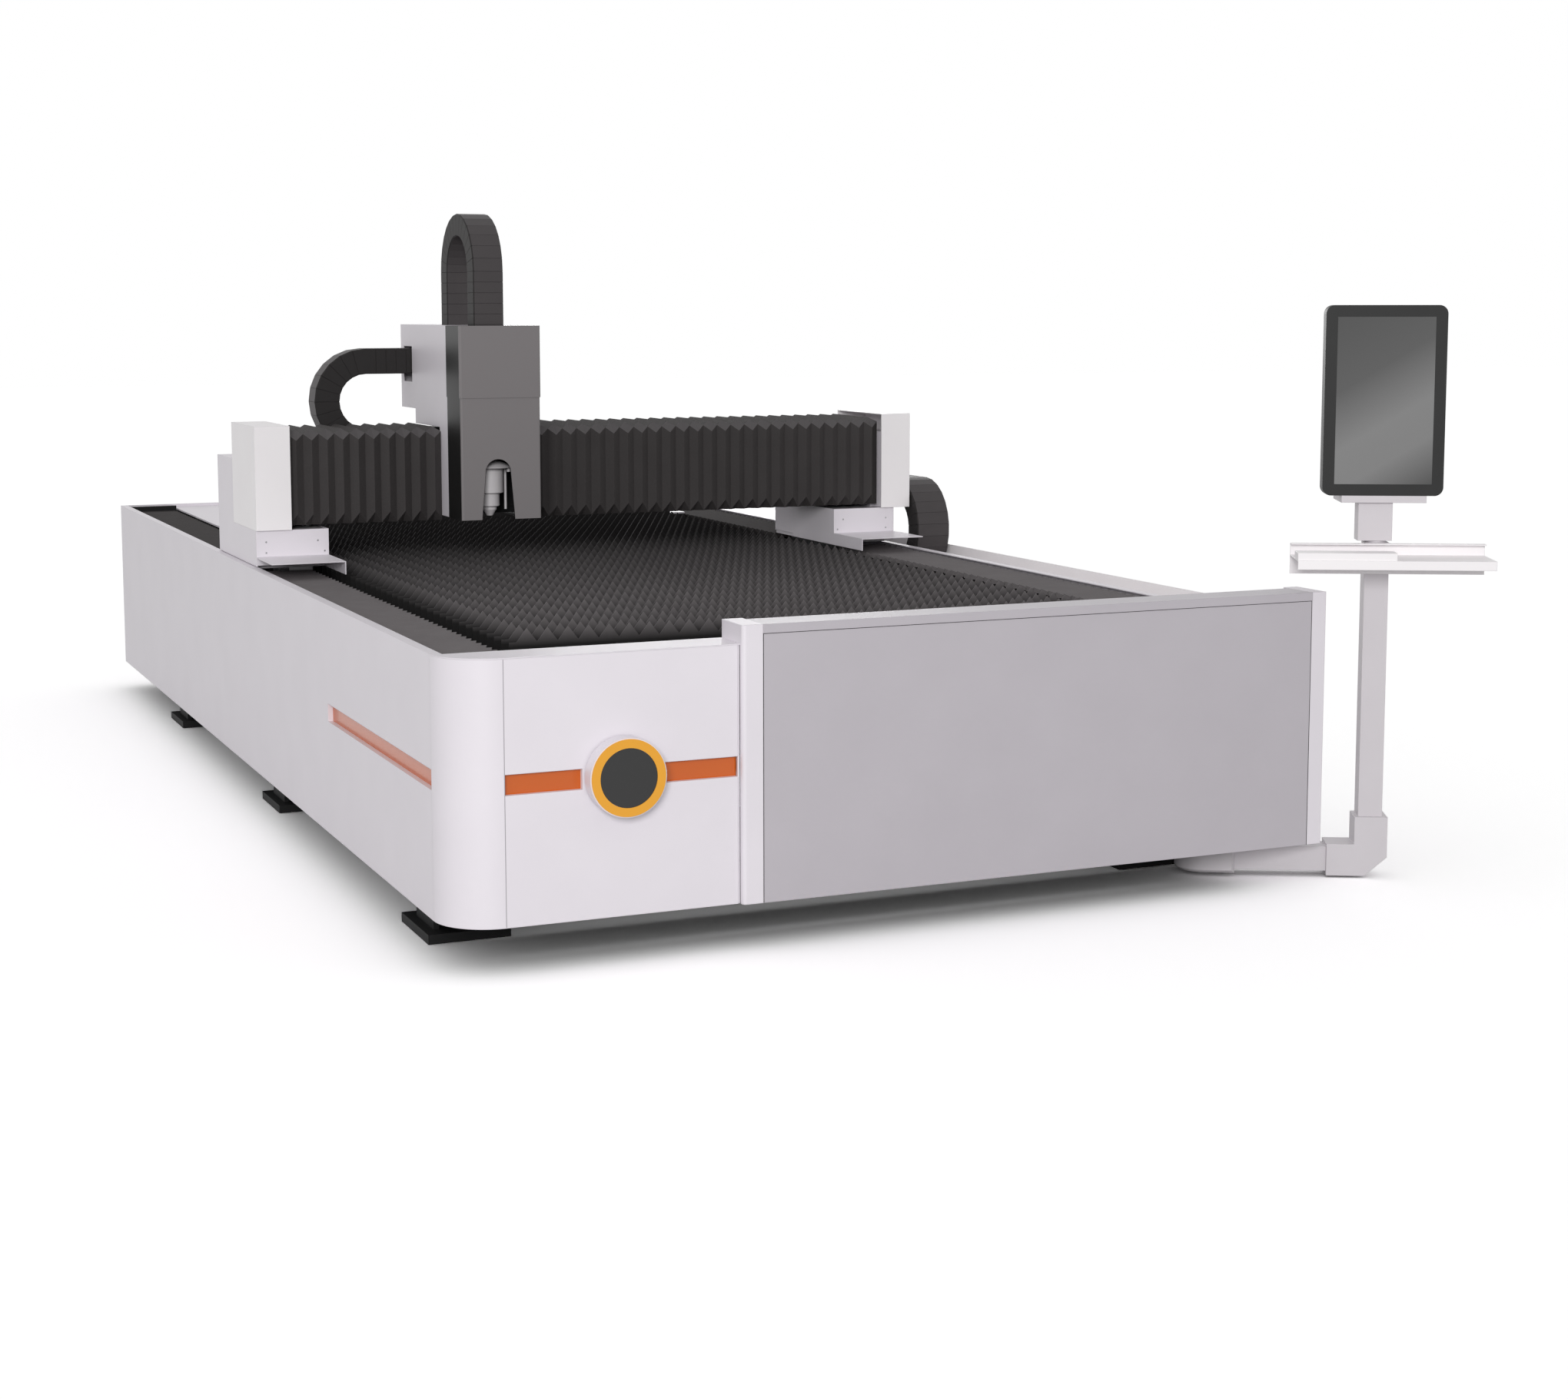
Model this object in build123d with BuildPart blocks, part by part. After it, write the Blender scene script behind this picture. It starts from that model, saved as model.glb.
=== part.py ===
from build123d import *
import os
from math import cos, radians, sin, sqrt

os.makedirs("parts", exist_ok=True)

# Fiber laser cutting machine with an open toothed slat bed, a travelling gantry under
# pleated covers, a cutting head that crosses it, and a swinging operator console.
# Millimetres, +Z up. X runs along the gantry, Y along the bed, and the front is -Y.
# The origin is the middle of the underside of the front left foot, on the floor.

# Bed: driving dimensions
sheet = 3.0                    # folded sheet steel
seat = 0.3                     # gap between surfaces that slide or turn past each other
weld_gap = 0.3                 # gap that a weld bridges between two tubes of the frame
panel_width = 2130.0           # over the two side panels
bed_length = 4544.0
side_height = 607.0            # side panels, above their lower edge
front_height = 651.0           # grey front panel and its end posts
right_side_drop = 12.0         # the right side panel stops lower
corner_radius = 130.0          # round front left corner
side_ledge = 25.0              # width of the folded top edge
front_ledge_depth = 115.0
left_front_length = 558.0      # front panel between the round corner and the first post
panel_seam = 5.0
post_width = 51.0
right_post_width = 42.0
front_step = 17.0              # the grey panel stands this far in front
post_depth = 125.0
cap_depth = 102.0
cap_lip_height = 21.0
cap_lip_proud = 2.0
post_round = 10.0              # rounded outer corner of the left post

# Recessed colour stripe and round emblem
stripe_low = 299.0
stripe_high = 346.0
stripe_depth = 15.0
side_stripe_length = 995.0
emblem_from_seam = 275.0
emblem_height = 326.0
emblem_radius = 91.0
emblem_proud = 45.0
emblem_ring_radius = 88.0
emblem_disc_radius = 68.0
emblem_neck_radius = 80.0
emblem_neck = 6.0

# Feet
foot_height = 100.0
foot_width = 200.0
foot_length = 240.0
foot_inset = 33.0
foot_front = 300.0             # front edge of the first foot, behind the front panel
foot_pitches = (0.0, 1615.0, 3195.0)
foot_plate = 23.0
foot_cap = 12.0
foot_column = 150.0
foot_web = 14.0

# Welded frame
beam_width = 175.0
beam_height = 540.0
beam_wall = 8.0
cross_low = 120.0              # height of the low cross tubes
cross_tube = 60.0
slat_cross_top = 440.0
slat_cross_shares = (0.02, 0.34, 0.66, 0.98)  # places of the high tubes along the slats
deck_start = 3500.0
deck_seam = 4050.0
deck_end = 4470.0
deck_top = 596.0
deck_thickness = 6.0

# Slat bed
blade_count = 52
blade_pitch = 60.0
blade_thickness = 3.0
first_blade = 405.0
blade_left = 270.0
blade_right = 268.0            # from the right side panel
blade_base = 500.0
blade_shoulder = 585.5
tooth_height = 28.5
tooth_count = 20
tooth_margin = 5.0             # from the blade's end to the first tooth's foot
slat_bar_width = 12.0
slat_bar_inset = 30.0

# Bed rails, racks and their pleated covers
rail_from_edge = 165.0
rail_width = 30.0
rail_height = 26.0
rack_from_edge = 60.0
rack_width = 24.0
rack_height = 24.0
rail_start = 131.0
rail_end = 4450.0
cover_width = 170.0
cover_bottom = 573.0
cover_top = 589.0
cover_pleat = 10.0
cover_drop = 5.0
cover_pleat_pitch = 100.0
cover_front_end = 2128.0
cover_rear_start = 2652.0
cover_bar = 14.0

# Cable chain along the right side
chain_trough_width = 170.0
trough_bottom = 467.0
trough_top = 600.0
trough_start = 20.0
trough_cover_start = 3050.0
trough_cover_top = 595.0
y_chain_width = 116.0
y_chain_from_panel = 40.0
y_chain_axis = 640.0
y_chain_outer = 162.0
y_chain_inner = 90.0
y_chain_bend = 2180.0
y_chain_moving_end = 3200.0
arm_from_chain = 6.0
arm_sheet = 6.0

# Gantry: distances from the left panel (x), the front panel (y) and the panels' lower edge (z)
cap_left = 19.0
cap_width = 105.0
right_cap_out = 35.0           # the right cap reaches this far past the side panel
right_cap_width = 103.0
cap_front = 2073.0
cap_back = 2412.0
cap_bottom = 715.0
cap_top = 1022.0
base_width = 216.0
base_front = 2081.0
base_plate_front = 2132.0
base_bottom = 598.5
base_plate_thickness = 13.5
flange_front = 1868.0
flange_top = 637.0
base_back = 2559.0
motor_cover_width = 141.0
motor_cover_back = 2648.0
motor_cover_top = 910.0
cover_clearance = 609.0
block_width = 70.0
block_length = 120.0
block_starts = (2150.0, 2380.0)
block_under = 5.0
saddle_top = 712.0
saddle_outer = 22.0
saddle_wall = 12.0
beam_end_inset = 12.0
y_motor_place = 2570.0
pinion_radius = 24.0
pinion_height = 20.0
shaft_room = 2.0               # round a shaft where it passes a plate
shaft_share = 0.6              # of the gearbox that a shaft reaches into
bore_share = 0.7               # of the gearbox that is bored for it
shaft_radius = 12.0
gearbox_size = 76.0
gearbox_height = 60.0
motor_size = 70.0
y_motor_height = 168.0

# Beam and its pleated covers
beam_front = 2165.0
beam_back = 2362.0
beam_low = 750.0
beam_high = 960.0
beam_skin = 10.0
x_rail_width = 24.0
x_rail_height = 20.0
x_rail_heights = (780.0, 930.0)
x_rack_back = 38.0
x_rack_width = 24.0
x_rack_height = 22.0
pleat_front = 2095.0
pleat_back = 2400.0
pleat_low = 725.0
pleat_high = 1010.0
pleat_chamfer = 33.0
pleat_depth = 14.0
pleat_wall = 4.0
pleat_corner_step = 2.4        # the inner corner is this much smaller
left_pleats = 10
right_pleats = 26

# Head
head_left = 592.0
head_width = 246.0
head_front = 1891.0
head_side_start = 2033.0
head_side_end = 2450.0
head_rear = 2557.0
head_low = 740.0
head_split = 1102.0
head_high = 1315.0
head_step = 1054.0
head_step_back = 2394.0
lap = 2.0
window_lap = 2.0               # the side plates reach this far over the pleats
head_round = 6.0
notch_share = 0.7
chain_room = 6.0
arch_low_half = 51.5
arch_high_half = 39.0
arch_spring = 889.0
arch_rise = 31.0               # from the arch's springs to its crown
nozzle_y = 1985.0
nozzle_from_left = 113.0       # the cutting axis, from the head's left side
carriage_front = 2105.0
carriage_thickness = 15.0
carriage_low = 760.0
carriage_high = 1235.0
shelf_low = 1013.0
shelf_thickness = 12.0
x_block_length = 70.0
x_block_height = 50.0
x_block_depth = 40.0
x_block_inset = 12.0
x_pinion_radius = 20.0
x_shaft_radius = 10.0
x_motor_from_left = 190.0
z_rail_spread = 110.0
z_rail_width = 20.0
z_rail_height = 17.0
z_rail_low = 765.0
z_rail_high = 1200.0
slide_plate_y = 2056.0
slide_plate_thickness = 12.0
slide_low = 870.0
slide_high = 1130.0
slide_width = 150.0
z_block_length = 60.0
z_block_starts = (890.0, 1050.0)
screw_radius = 8.0
screw_y = 2088.0
screw_low = 880.0
z_motor_height = 60.0

# Cutting head: radii and heights of the turned stack
nozzle_seat = 763.0
nozzle_length = 18.0
nozzle_tip_radius = 9.0
nozzle_bore = 1.5
tip_radius = 21.0
tip_height = 8.0
lower_barrel_radius = 30.0
barrel_split = 811.0
barrel_chamfer = 4.0
upper_barrel_radius = 42.0
dome_radius = 68.0
dome_low = 889.0
dome_high = 913.0
stud_radius = 6.0
stud_height = 12.0
stud_inset = 14.0              # inside the dome's rim
stud_forward = 20.0
stud_bury = 1.0
rod_radius = 4.0
rod_gap = 4.0
pad_half = 22.0
nozzle_rim = 1.0

# Cable chains on the gantry and the head
x_chain_front = 2433.0
x_chain_width = 87.0
x_chain_axis = 1077.0
x_chain_outer = 164.0
x_chain_inner = 85.0
x_chain_bend = 446.0
x_chain_fixed_end = 1100.0
x_chain_moving_end = 800.0
tray_sheet = 2.0
tray_side = 20.0
tray_margin = 8.0
tray_from_cap = 56.0
z_chain_left = 53.0            # from the head's left side
z_chain_width = 92.0
z_chain_front = 1920.0
z_chain_outer = 174.0
z_chain_inner = 108.0
z_chain_axis = 1475.0

# Operator console. Its own axes: s to the right along its front, b backwards, z up.
console_turn = -28.0
console_from_bed = 42.0        # elbow's lower left edge, from the bed's right end
console_y = 12.0
arm_pivot_s = -310.0
arm_pivot_b = 65.0
arm_head_radius = 75.0
arm_head_right = -236.0
arm_head_low = -91.0
arm_head_top = -16.0
arm_tube = 64.0
arm_tube_low = -85.0
arm_tube_setback = 12.0
pin_radius = 20.0
pin_seat = 0.05
swivel_plate = 12.0
swivel_rim = 12.0              # the flange is smaller than the arm's head
post_bury = 28.0               # the post stands inside the elbow this far
elbow_depth = 85.0
elbow_low = -95.0
elbow_right = 154.0
elbow_foot_right = 98.0
elbow_chamfer_top = -45.0
elbow_top = 60.0
elbow_neck_left = 70.0
elbow_shoulder = -12.0
elbow_edge = 7.0
post_left = 80.0
post_size = 61.0
post_top = 771.0
tray_left = -109.0
tray_length = 489.0
tray_back_low = 691.0
tray_back_high = 770.0
tray_surface = 740.0
tray_reach = 157.0
tray_lip = 23.0
tray_fold = 24.0
tray_hole_radius = 7.0
tray_hole_pitch = 65.0
tray_hole_count = 7
riser_length = 245.0
riser_height = 19.0
riser_depth = 60.0
neck_left = 61.0
neck_width = 86.0
neck_depth = 60.0
collar_radius = 27.0
collar_height = 5.0
neck_top = 874.0
monitor_base_left = 16.0
monitor_base_width = 213.0
monitor_base_depth = 140.0
monitor_base_thickness = 18.0
monitor_left = -33.0
monitor_width = 303.0
monitor_height = 482.0
monitor_depth = 46.0
monitor_corner = 22.0
screen_inset = 29.0
screen_glass = 3.0

# Places worked out from the dimensions
left = -(foot_inset + foot_width / 2)
front = -(foot_front + foot_length / 2)
low = foot_height
rear = front + bed_length
panel_right = left + panel_width
bed_right = panel_right + chain_trough_width
middle = left + panel_width / 2
ledge_top = low + side_height
ledge_bottom = ledge_top - sheet
front_top = low + front_height
panel_start = front + corner_radius
seam_x = left + corner_radius
front_panel_right = seam_x + left_front_length
post_left_x = front_panel_right + panel_seam
grey_left = post_left_x + post_width
grey_right = bed_right - right_post_width
grey_plane = front - front_step
rear_inside = rear - sheet
beam_start = front_ledge_depth
left_cap_x = (left + cap_left, left + cap_left + cap_width)
right_cap_end = panel_right + right_cap_out
right_cap_x = (right_cap_end - right_cap_width, right_cap_end)
beam_top = low + beam_height
beam_outer = side_ledge
beam_inner = beam_outer + beam_width
head_x = left + head_left
head_right = head_x + head_width
cut_x = head_x + nozzle_from_left
cut_y = front + nozzle_y
SIDES = (-1, 1)
pinion_from_edge = rack_from_edge + rack_width + pinion_radius + seat


def block(x_span, y_span, z_span, mode=Mode.ADD):
    """A rectangular block between two values on each axis of the open part."""
    with Locations((x_span[0], y_span[0], z_span[0])):
        Box(
            x_span[1] - x_span[0],
            y_span[1] - y_span[0],
            z_span[1] - z_span[0],
            align=(Align.MIN, Align.MIN, Align.MIN),
            mode=mode,
        )


def from_edge(side, near, far):
    """X span between two distances inside the outer plane of the side panel on that side."""
    near_x = middle + side * (panel_width / 2 - near)
    far_x = middle + side * (panel_width / 2 - far)
    return (min(near_x, far_x), max(near_x, far_x))


def bed_y(*values):
    """Y values from distances behind the front panel."""
    return tuple(front + value for value in values)


def bed_z(*values):
    """Z values from heights above the panels' lower edge."""
    return tuple(low + value for value in values)


# Feet: an H column between a base plate and a cap plate, six of them
foot_places = [(side_x, pitch) for pitch in foot_pitches for side_x in (0.0, 2 * middle)]
with BuildPart() as support_feet:
    with BuildSketch(Plane.XY):
        with Locations(*foot_places):
            Rectangle(foot_width, foot_length)
    extrude(amount=foot_plate)
    with BuildSketch(Plane.XY.offset(foot_plate)):
        with Locations(*foot_places):
            Rectangle(foot_column, foot_column)
        pocket = (foot_column - foot_web) / 2
        for side in SIDES:
            shift = side * (foot_column - pocket) / 2
            with Locations(*[(x, y + shift) for x, y in foot_places]):
                Rectangle(foot_column - 2 * foot_web, pocket, mode=Mode.SUBTRACT)
    extrude(amount=foot_height - foot_plate - foot_cap)
    with BuildSketch(Plane.XY.offset(foot_height - foot_cap)):
        with Locations(*foot_places):
            Rectangle(foot_column, foot_column)
    extrude(amount=foot_cap)
support_feet.part.label = "support_feet"
export_step(support_feet.part, "parts/support_feet.step")

# Welded frame: two long box beams, low cross tubes at the feet, high ones under the slats
# and the rear deck, and the three bars that the slat blades stand on
deck_bottom = deck_top - deck_thickness
last_blade = first_blade + (blade_count - 1) * blade_pitch
blade_x = (left + blade_left, panel_right - blade_right)
blade_length = blade_x[1] - blade_x[0]
blade_middle = (blade_x[0] + blade_x[1]) / 2
slat_bar_places = (blade_x[0] + slat_bar_inset, blade_middle, blade_x[1] - slat_bar_inset)
with BuildPart() as bed_frame:
    for side in SIDES:
        beam_x = from_edge(side, beam_outer, beam_inner)
        block(beam_x, (front + beam_start, rear_inside), bed_z(0, beam_height))
        hollow_x = from_edge(side, beam_outer + beam_wall, beam_inner - beam_wall)
        hollow_y = (front + beam_start + beam_wall, rear_inside - beam_wall)
        block(hollow_x, hollow_y, bed_z(beam_wall, beam_height - beam_wall), mode=Mode.SUBTRACT)
    front_beam_x = (seam_x + sheet, panel_right - side_ledge)
    front_beam_y = bed_y(sheet, beam_start - weld_gap)
    block(front_beam_x, front_beam_y, bed_z(0, cross_low))
    block(front_beam_x, front_beam_y, (ledge_bottom - cross_low, ledge_bottom))
    bay = (left + beam_inner + weld_gap, panel_right - beam_inner - weld_gap)
    swivel_tube_y = bed_y(beam_start + cross_tube / 2, foot_front - 2 * seat)
    block(bay, swivel_tube_y, bed_z(0, cross_low))
    for pitch in foot_pitches:
        block(bay, (pitch - cross_low / 2, pitch + cross_low / 2), bed_z(0, cross_low))
    bay_length = last_blade - first_blade
    for share in slat_cross_shares:
        tube_y = first_blade + share * bay_length
        tube_span = bed_y(tube_y - cross_tube / 2, tube_y + cross_tube / 2)
        block(bay, tube_span, bed_z(slat_cross_top - cross_tube, slat_cross_top))
    for tube_y in (deck_start + cross_tube / 2, deck_seam, deck_end - cross_tube / 2):
        tube_span = bed_y(tube_y - cross_tube / 2, tube_y + cross_tube / 2)
        block(bay, tube_span, bed_z(deck_bottom - cross_tube, deck_bottom))
    for bar_x in slat_bar_places:
        bar_span = (bar_x - slat_bar_width / 2, bar_x + slat_bar_width / 2)
        bar_y = bed_y(first_blade - blade_pitch / 2, last_blade + blade_pitch / 2)
        block(bar_span, bar_y, bed_z(slat_cross_top + weld_gap, blade_base))
bed_frame.part.label = "bed_frame"
export_step(bed_frame.part, "parts/bed_frame.step")

# Linear rails and racks on the two long beams
with BuildPart() as bed_rails:
    waist = rail_width / 6
    with BuildSketch(Plane.XZ.offset(-(front + rail_start))):
        for side in SIDES:
            rail_x = middle + side * (panel_width / 2 - rail_from_edge)
            with Locations((rail_x, beam_top + rail_height / 2)):
                Rectangle(rail_width, rail_height)
            with Locations((rail_x - rail_width / 2, beam_top + rail_height / 2)):
                Rectangle(waist, rail_height / 3, mode=Mode.SUBTRACT)
            with Locations((rail_x + rail_width / 2, beam_top + rail_height / 2)):
                Rectangle(waist, rail_height / 3, mode=Mode.SUBTRACT)
            rack_x = middle + side * (panel_width / 2 - rack_from_edge - rack_width / 2)
            with Locations((rack_x, beam_top + rack_height / 2)):
                Rectangle(rack_width, rack_height)
    extrude(amount=-(rail_end - rail_start))
bed_rails.part.label = "bed_rails"
export_step(bed_rails.part, "parts/bed_rails.step")

# Slat blades: upright strips across the bed whose upper edge is a row of pointed teeth
tooth_pitch = (blade_length - 2 * tooth_margin) / tooth_count
blade_planes = []
for number in range(blade_count):
    blade_y = front + first_blade + number * blade_pitch + blade_thickness / 2
    blade_planes.append(Plane.XZ.offset(-blade_y))
with BuildPart() as slat_blades:
    with BuildSketch(*blade_planes):
        with Locations((blade_middle, low + (blade_base + blade_shoulder) / 2)):
            Rectangle(blade_length, blade_shoulder - blade_base)
        with Locations((blade_middle, low + blade_shoulder)):
            with GridLocations(tooth_pitch, 0, tooth_count, 1):
                Polygon(
                    (-tooth_pitch / 2, 0),
                    (tooth_pitch / 2, 0),
                    (0, tooth_height),
                    align=None,
                )
    extrude(amount=blade_thickness)
slat_blades.part.label = "slat_blades"
export_step(slat_blades.part, "parts/slat_blades.step")

# Left side panel: folded top and bottom edges and a recess for the stripe
with BuildPart() as left_side_panel:
    panel_y = (panel_start, rear_inside)
    block((left, left + side_ledge), panel_y, bed_z(0, side_height))
    block((left + sheet, left + side_ledge), panel_y, (low + sheet, ledge_bottom), mode=Mode.SUBTRACT)
    recess_y = (panel_start, panel_start + side_stripe_length)
    recess_end = (panel_start, recess_y[1] + sheet)
    lining_z = bed_z(stripe_low - sheet, stripe_high + sheet)
    block((left + sheet, left + stripe_depth + sheet), recess_end, lining_z)
    block((left, left + stripe_depth), recess_y, bed_z(stripe_low, stripe_high), mode=Mode.SUBTRACT)
left_side_panel.part.label = "left_side_panel"
export_step(left_side_panel.part, "parts/left_side_panel.step")

# Round corner panel
with BuildPart() as corner_panel:
    with BuildSketch(Plane.XY.offset(low)):
        with BuildLine():
            outer = CenterArc((seam_x, panel_start), corner_radius, 180, 90)
            inner = CenterArc((seam_x, panel_start), corner_radius - sheet, 180, 90)
            Line(outer @ 0, inner @ 0)
            Line(outer @ 1, inner @ 1)
        make_face()
    extrude(amount=ledge_bottom - low)
corner_panel.part.label = "corner_panel"
export_step(corner_panel.part, "parts/corner_panel.step")

# Front panel left of the first post; the stripe's recess stops on each side of the emblem
emblem_x = seam_x + emblem_from_seam
emblem_z = low + emblem_height
with BuildPart() as front_left_panel:
    panel_x = (seam_x, front_panel_right)
    block(panel_x, bed_y(0, sheet), (low, ledge_bottom))
    stripe_z = bed_z(stripe_low, stripe_high)
    block(panel_x, bed_y(sheet, stripe_depth + sheet), lining_z)
    island = emblem_radius + sheet
    for part_x in ((panel_x[0], emblem_x - island), (emblem_x + island, panel_x[1])):
        block(part_x, bed_y(0, stripe_depth), stripe_z, mode=Mode.SUBTRACT)
front_left_panel.part.label = "front_left_panel"
export_step(front_left_panel.part, "parts/front_left_panel.step")

# Coloured strips that line the recesses
with BuildPart() as stripe_strips:
    strip_z = (low + stripe_low, low + stripe_high)
    strip_deep = (stripe_depth - sheet / 2, stripe_depth)
    for part_x in ((panel_x[0], emblem_x - island), (emblem_x + island, panel_x[1])):
        block(part_x, bed_y(*strip_deep), strip_z)
    block((left + strip_deep[0], left + strip_deep[1]), recess_y, strip_z)
stripe_strips.part.label = "stripe_strips"
export_step(stripe_strips.part, "parts/stripe_strips.step")

# Round emblem: a white barrel on a narrower neck, with a flat ring and disc on its face
with BuildPart() as emblem_barrel:
    with BuildSketch(Plane.XZ.offset(-front)):
        with Locations((emblem_x, emblem_z)):
            Circle(emblem_neck_radius)
    extrude(amount=emblem_neck)
    with BuildSketch(Plane.XZ.offset(-(front - emblem_neck))):
        with Locations((emblem_x, emblem_z)):
            Circle(emblem_radius)
    extrude(amount=emblem_proud - emblem_neck)
emblem_barrel.part.label = "emblem_barrel"
export_step(emblem_barrel.part, "parts/emblem_barrel.step")

with BuildPart() as emblem_face:
    with BuildSketch(Plane.XZ.offset(-(front - emblem_proud))):
        with Locations((emblem_x, emblem_z)):
            Circle(emblem_ring_radius)
            Circle(emblem_disc_radius, mode=Mode.SUBTRACT)
    extrude(amount=sheet)
    with BuildSketch(Plane.XZ.offset(-(front - emblem_proud))):
        with Locations((emblem_x, emblem_z)):
            Circle(emblem_disc_radius - seat)
    extrude(amount=sheet / 2)
emblem_face.part.label = "emblem_face"
export_step(emblem_face.part, "parts/emblem_face.step")

# Flat ledge along the front, round at the left corner
with BuildPart() as front_ledge:
    with BuildSketch(Plane.XY.offset(ledge_bottom)):
        with BuildLine():
            bend = CenterArc((seam_x, panel_start), corner_radius, 180, 90)
            Polyline(
                bend @ 1,
                (panel_right, front),
                (panel_right, front + front_ledge_depth),
                (left + side_ledge, front + front_ledge_depth),
                (left + side_ledge, panel_start),
                bend @ 0,
            )
        make_face()
    extrude(amount=sheet)
front_ledge.part.label = "front_ledge"
export_step(front_ledge.part, "parts/front_ledge.step")

# End posts of the grey front panel, each with a block that laps back over the ledge
with BuildPart() as front_posts:
    for post_x in ((post_left_x, grey_left), (grey_right, bed_right)):
        block(post_x, (grey_plane, front), (low, front_top))
        block(post_x, bed_y(0, post_depth - front_step), (ledge_top, front_top))
    outer_corner = front_posts.edges().filter_by(Axis.Z).sort_by(SortBy.DISTANCE).group_by(Axis.Y)[0]
    fillet(outer_corner.sort_by(Axis.X)[0], radius=post_round)
front_posts.part.label = "front_posts"
export_step(front_posts.part, "parts/front_posts.step")

# Grey front panel: one folded sheet with a proud lip, a flat cap and a foot behind it
with BuildPart() as front_grey_panel:
    with BuildSketch(Plane.YZ.offset(grey_left)):
        with BuildLine():
            cap_inner = front + cap_depth - front_step
            Polyline(
                (front + sheet, low),
                (grey_plane, low),
                (grey_plane, front_top - cap_lip_height),
                (grey_plane - cap_lip_proud, front_top - cap_lip_height),
                (grey_plane - cap_lip_proud, front_top),
                (cap_inner, front_top),
                (cap_inner, ledge_top),
                (cap_inner - sheet, ledge_top),
                (cap_inner - sheet, front_top - sheet),
                (grey_plane + sheet, front_top - sheet),
                (grey_plane + sheet, low + sheet),
                (front + sheet, low + sheet),
                close=True,
            )
        make_face()
    extrude(amount=grey_right - grey_left)
front_grey_panel.part.label = "front_grey_panel"
export_step(front_grey_panel.part, "parts/front_grey_panel.step")

# Right side panel, lower than the left one, folded the same way
right_top = ledge_top - right_side_drop
with BuildPart() as right_side_panel:
    panel_y = (front + sheet, rear_inside)
    right_x = (panel_right - side_ledge, panel_right)
    block(right_x, panel_y, (low, right_top))
    inside_x = (right_x[0], panel_right - sheet)
    block(inside_x, panel_y, (low + sheet, right_top - sheet), mode=Mode.SUBTRACT)
right_side_panel.part.label = "right_side_panel"
export_step(right_side_panel.part, "parts/right_side_panel.step")

# Rear panel with a folded ledge
with BuildPart() as rear_panel:
    block((left, panel_right), (rear_inside, rear), (low, ledge_top))
rear_panel.part.label = "rear_panel"
export_step(rear_panel.part, "parts/rear_panel.step")

# Two deck plates behind the slats
with BuildPart() as rear_decks:
    deck_x = (left + beam_inner, panel_right - beam_inner)
    deck_z = bed_z(deck_bottom, deck_top)
    block(deck_x, bed_y(deck_start, deck_seam - seat), deck_z)
    block(deck_x, (front + deck_seam + seat, rear_inside), deck_z)
rear_decks.part.label = "rear_decks"
export_step(rear_decks.part, "parts/rear_decks.step")


def pleated_cover(start, end, bar_at):
    """Two flat pleated covers over the bed rails, from start to end behind the front."""
    pleats = round((end - start) / cover_pleat_pitch)
    with BuildPart() as covers:
        for side in SIDES:
            cover_x = middle + side * (panel_width / 2 - beam_outer - cover_width / 2)
            sections = []
            for number in range(2 * pleats + 1):
                place = front + start + (end - start) * number / (2 * pleats)
                valley = number % 2
                height = cover_top - cover_bottom - cover_drop * valley
                with BuildSketch(Plane.XZ.offset(-place)) as section:
                    with Locations((cover_x, low + cover_bottom + height / 2)):
                        Rectangle(cover_width - 2 * cover_pleat * valley, height)
                sections.append(section.sketch.faces()[0])
            loft(sections, ruled=True)
            bar_x = (cover_x - cover_width / 2, cover_x + cover_width / 2)
            if bar_at > start:
                block(bar_x, bed_y(bar_at, bar_at + cover_bar), bed_z(beam_height, side_height))
            else:
                block(bar_x, bed_y(bar_at, bar_at + cover_bar), bed_z(beam_height, cover_top))
    return covers


rail_covers_front = pleated_cover(front_ledge_depth + cover_bar, cover_front_end, front_ledge_depth)
rail_covers_front.part.label = "rail_covers_front"
export_step(rail_covers_front.part, "parts/rail_covers_front.step")

rail_covers_rear = pleated_cover(cover_rear_start, rail_end, rail_end)
rail_covers_rear.part.label = "rail_covers_rear"
export_step(rail_covers_rear.part, "parts/rail_covers_rear.step")

# Open trough that carries the long cable chain, and its cover at the rear
trough_x = (panel_right, panel_right + chain_trough_width)
with BuildPart() as chain_trough:
    block(trough_x, (front + trough_start, rear), bed_z(trough_bottom, trough_top - right_side_drop))
    trough_inside = (trough_x[0] + sheet, trough_x[1] - sheet)
    trough_z = bed_z(trough_bottom + sheet, trough_top)
    block(trough_inside, (front + trough_start, rear), trough_z, mode=Mode.SUBTRACT)
chain_trough.part.label = "chain_trough"
export_step(chain_trough.part, "parts/chain_trough.step")

with BuildPart() as trough_cover:
    cover_y = (front + trough_cover_start, rear)
    rim = trough_top - right_side_drop
    block(trough_x, cover_y, bed_z(rim, trough_cover_top))
    block(trough_inside, (cover_y[0], cover_y[0] + sheet), bed_z(trough_bottom + sheet, rim))
trough_cover.part.label = "trough_cover"
export_step(trough_cover.part, "parts/trough_cover.step")

# Long cable chain: a lower run in the trough, a half-round bend and an upper run
chain_x = (panel_right + y_chain_from_panel, panel_right + y_chain_from_panel + y_chain_width)
y_bend = front + y_chain_bend
y_axis = low + y_chain_axis
chain_low_y = (y_bend, front + trough_cover_start)
with BuildPart() as y_chain_lower_run:
    block(chain_x, chain_low_y, (y_axis - y_chain_outer, y_axis - y_chain_inner))
    foot_y = (chain_low_y[1] - y_chain_width, chain_low_y[1])
    block(chain_x, foot_y, (low + trough_bottom + sheet, y_axis - y_chain_outer))
y_chain_lower_run.part.label = "y_chain_lower_run"
export_step(y_chain_lower_run.part, "parts/y_chain_lower_run.step")

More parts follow.
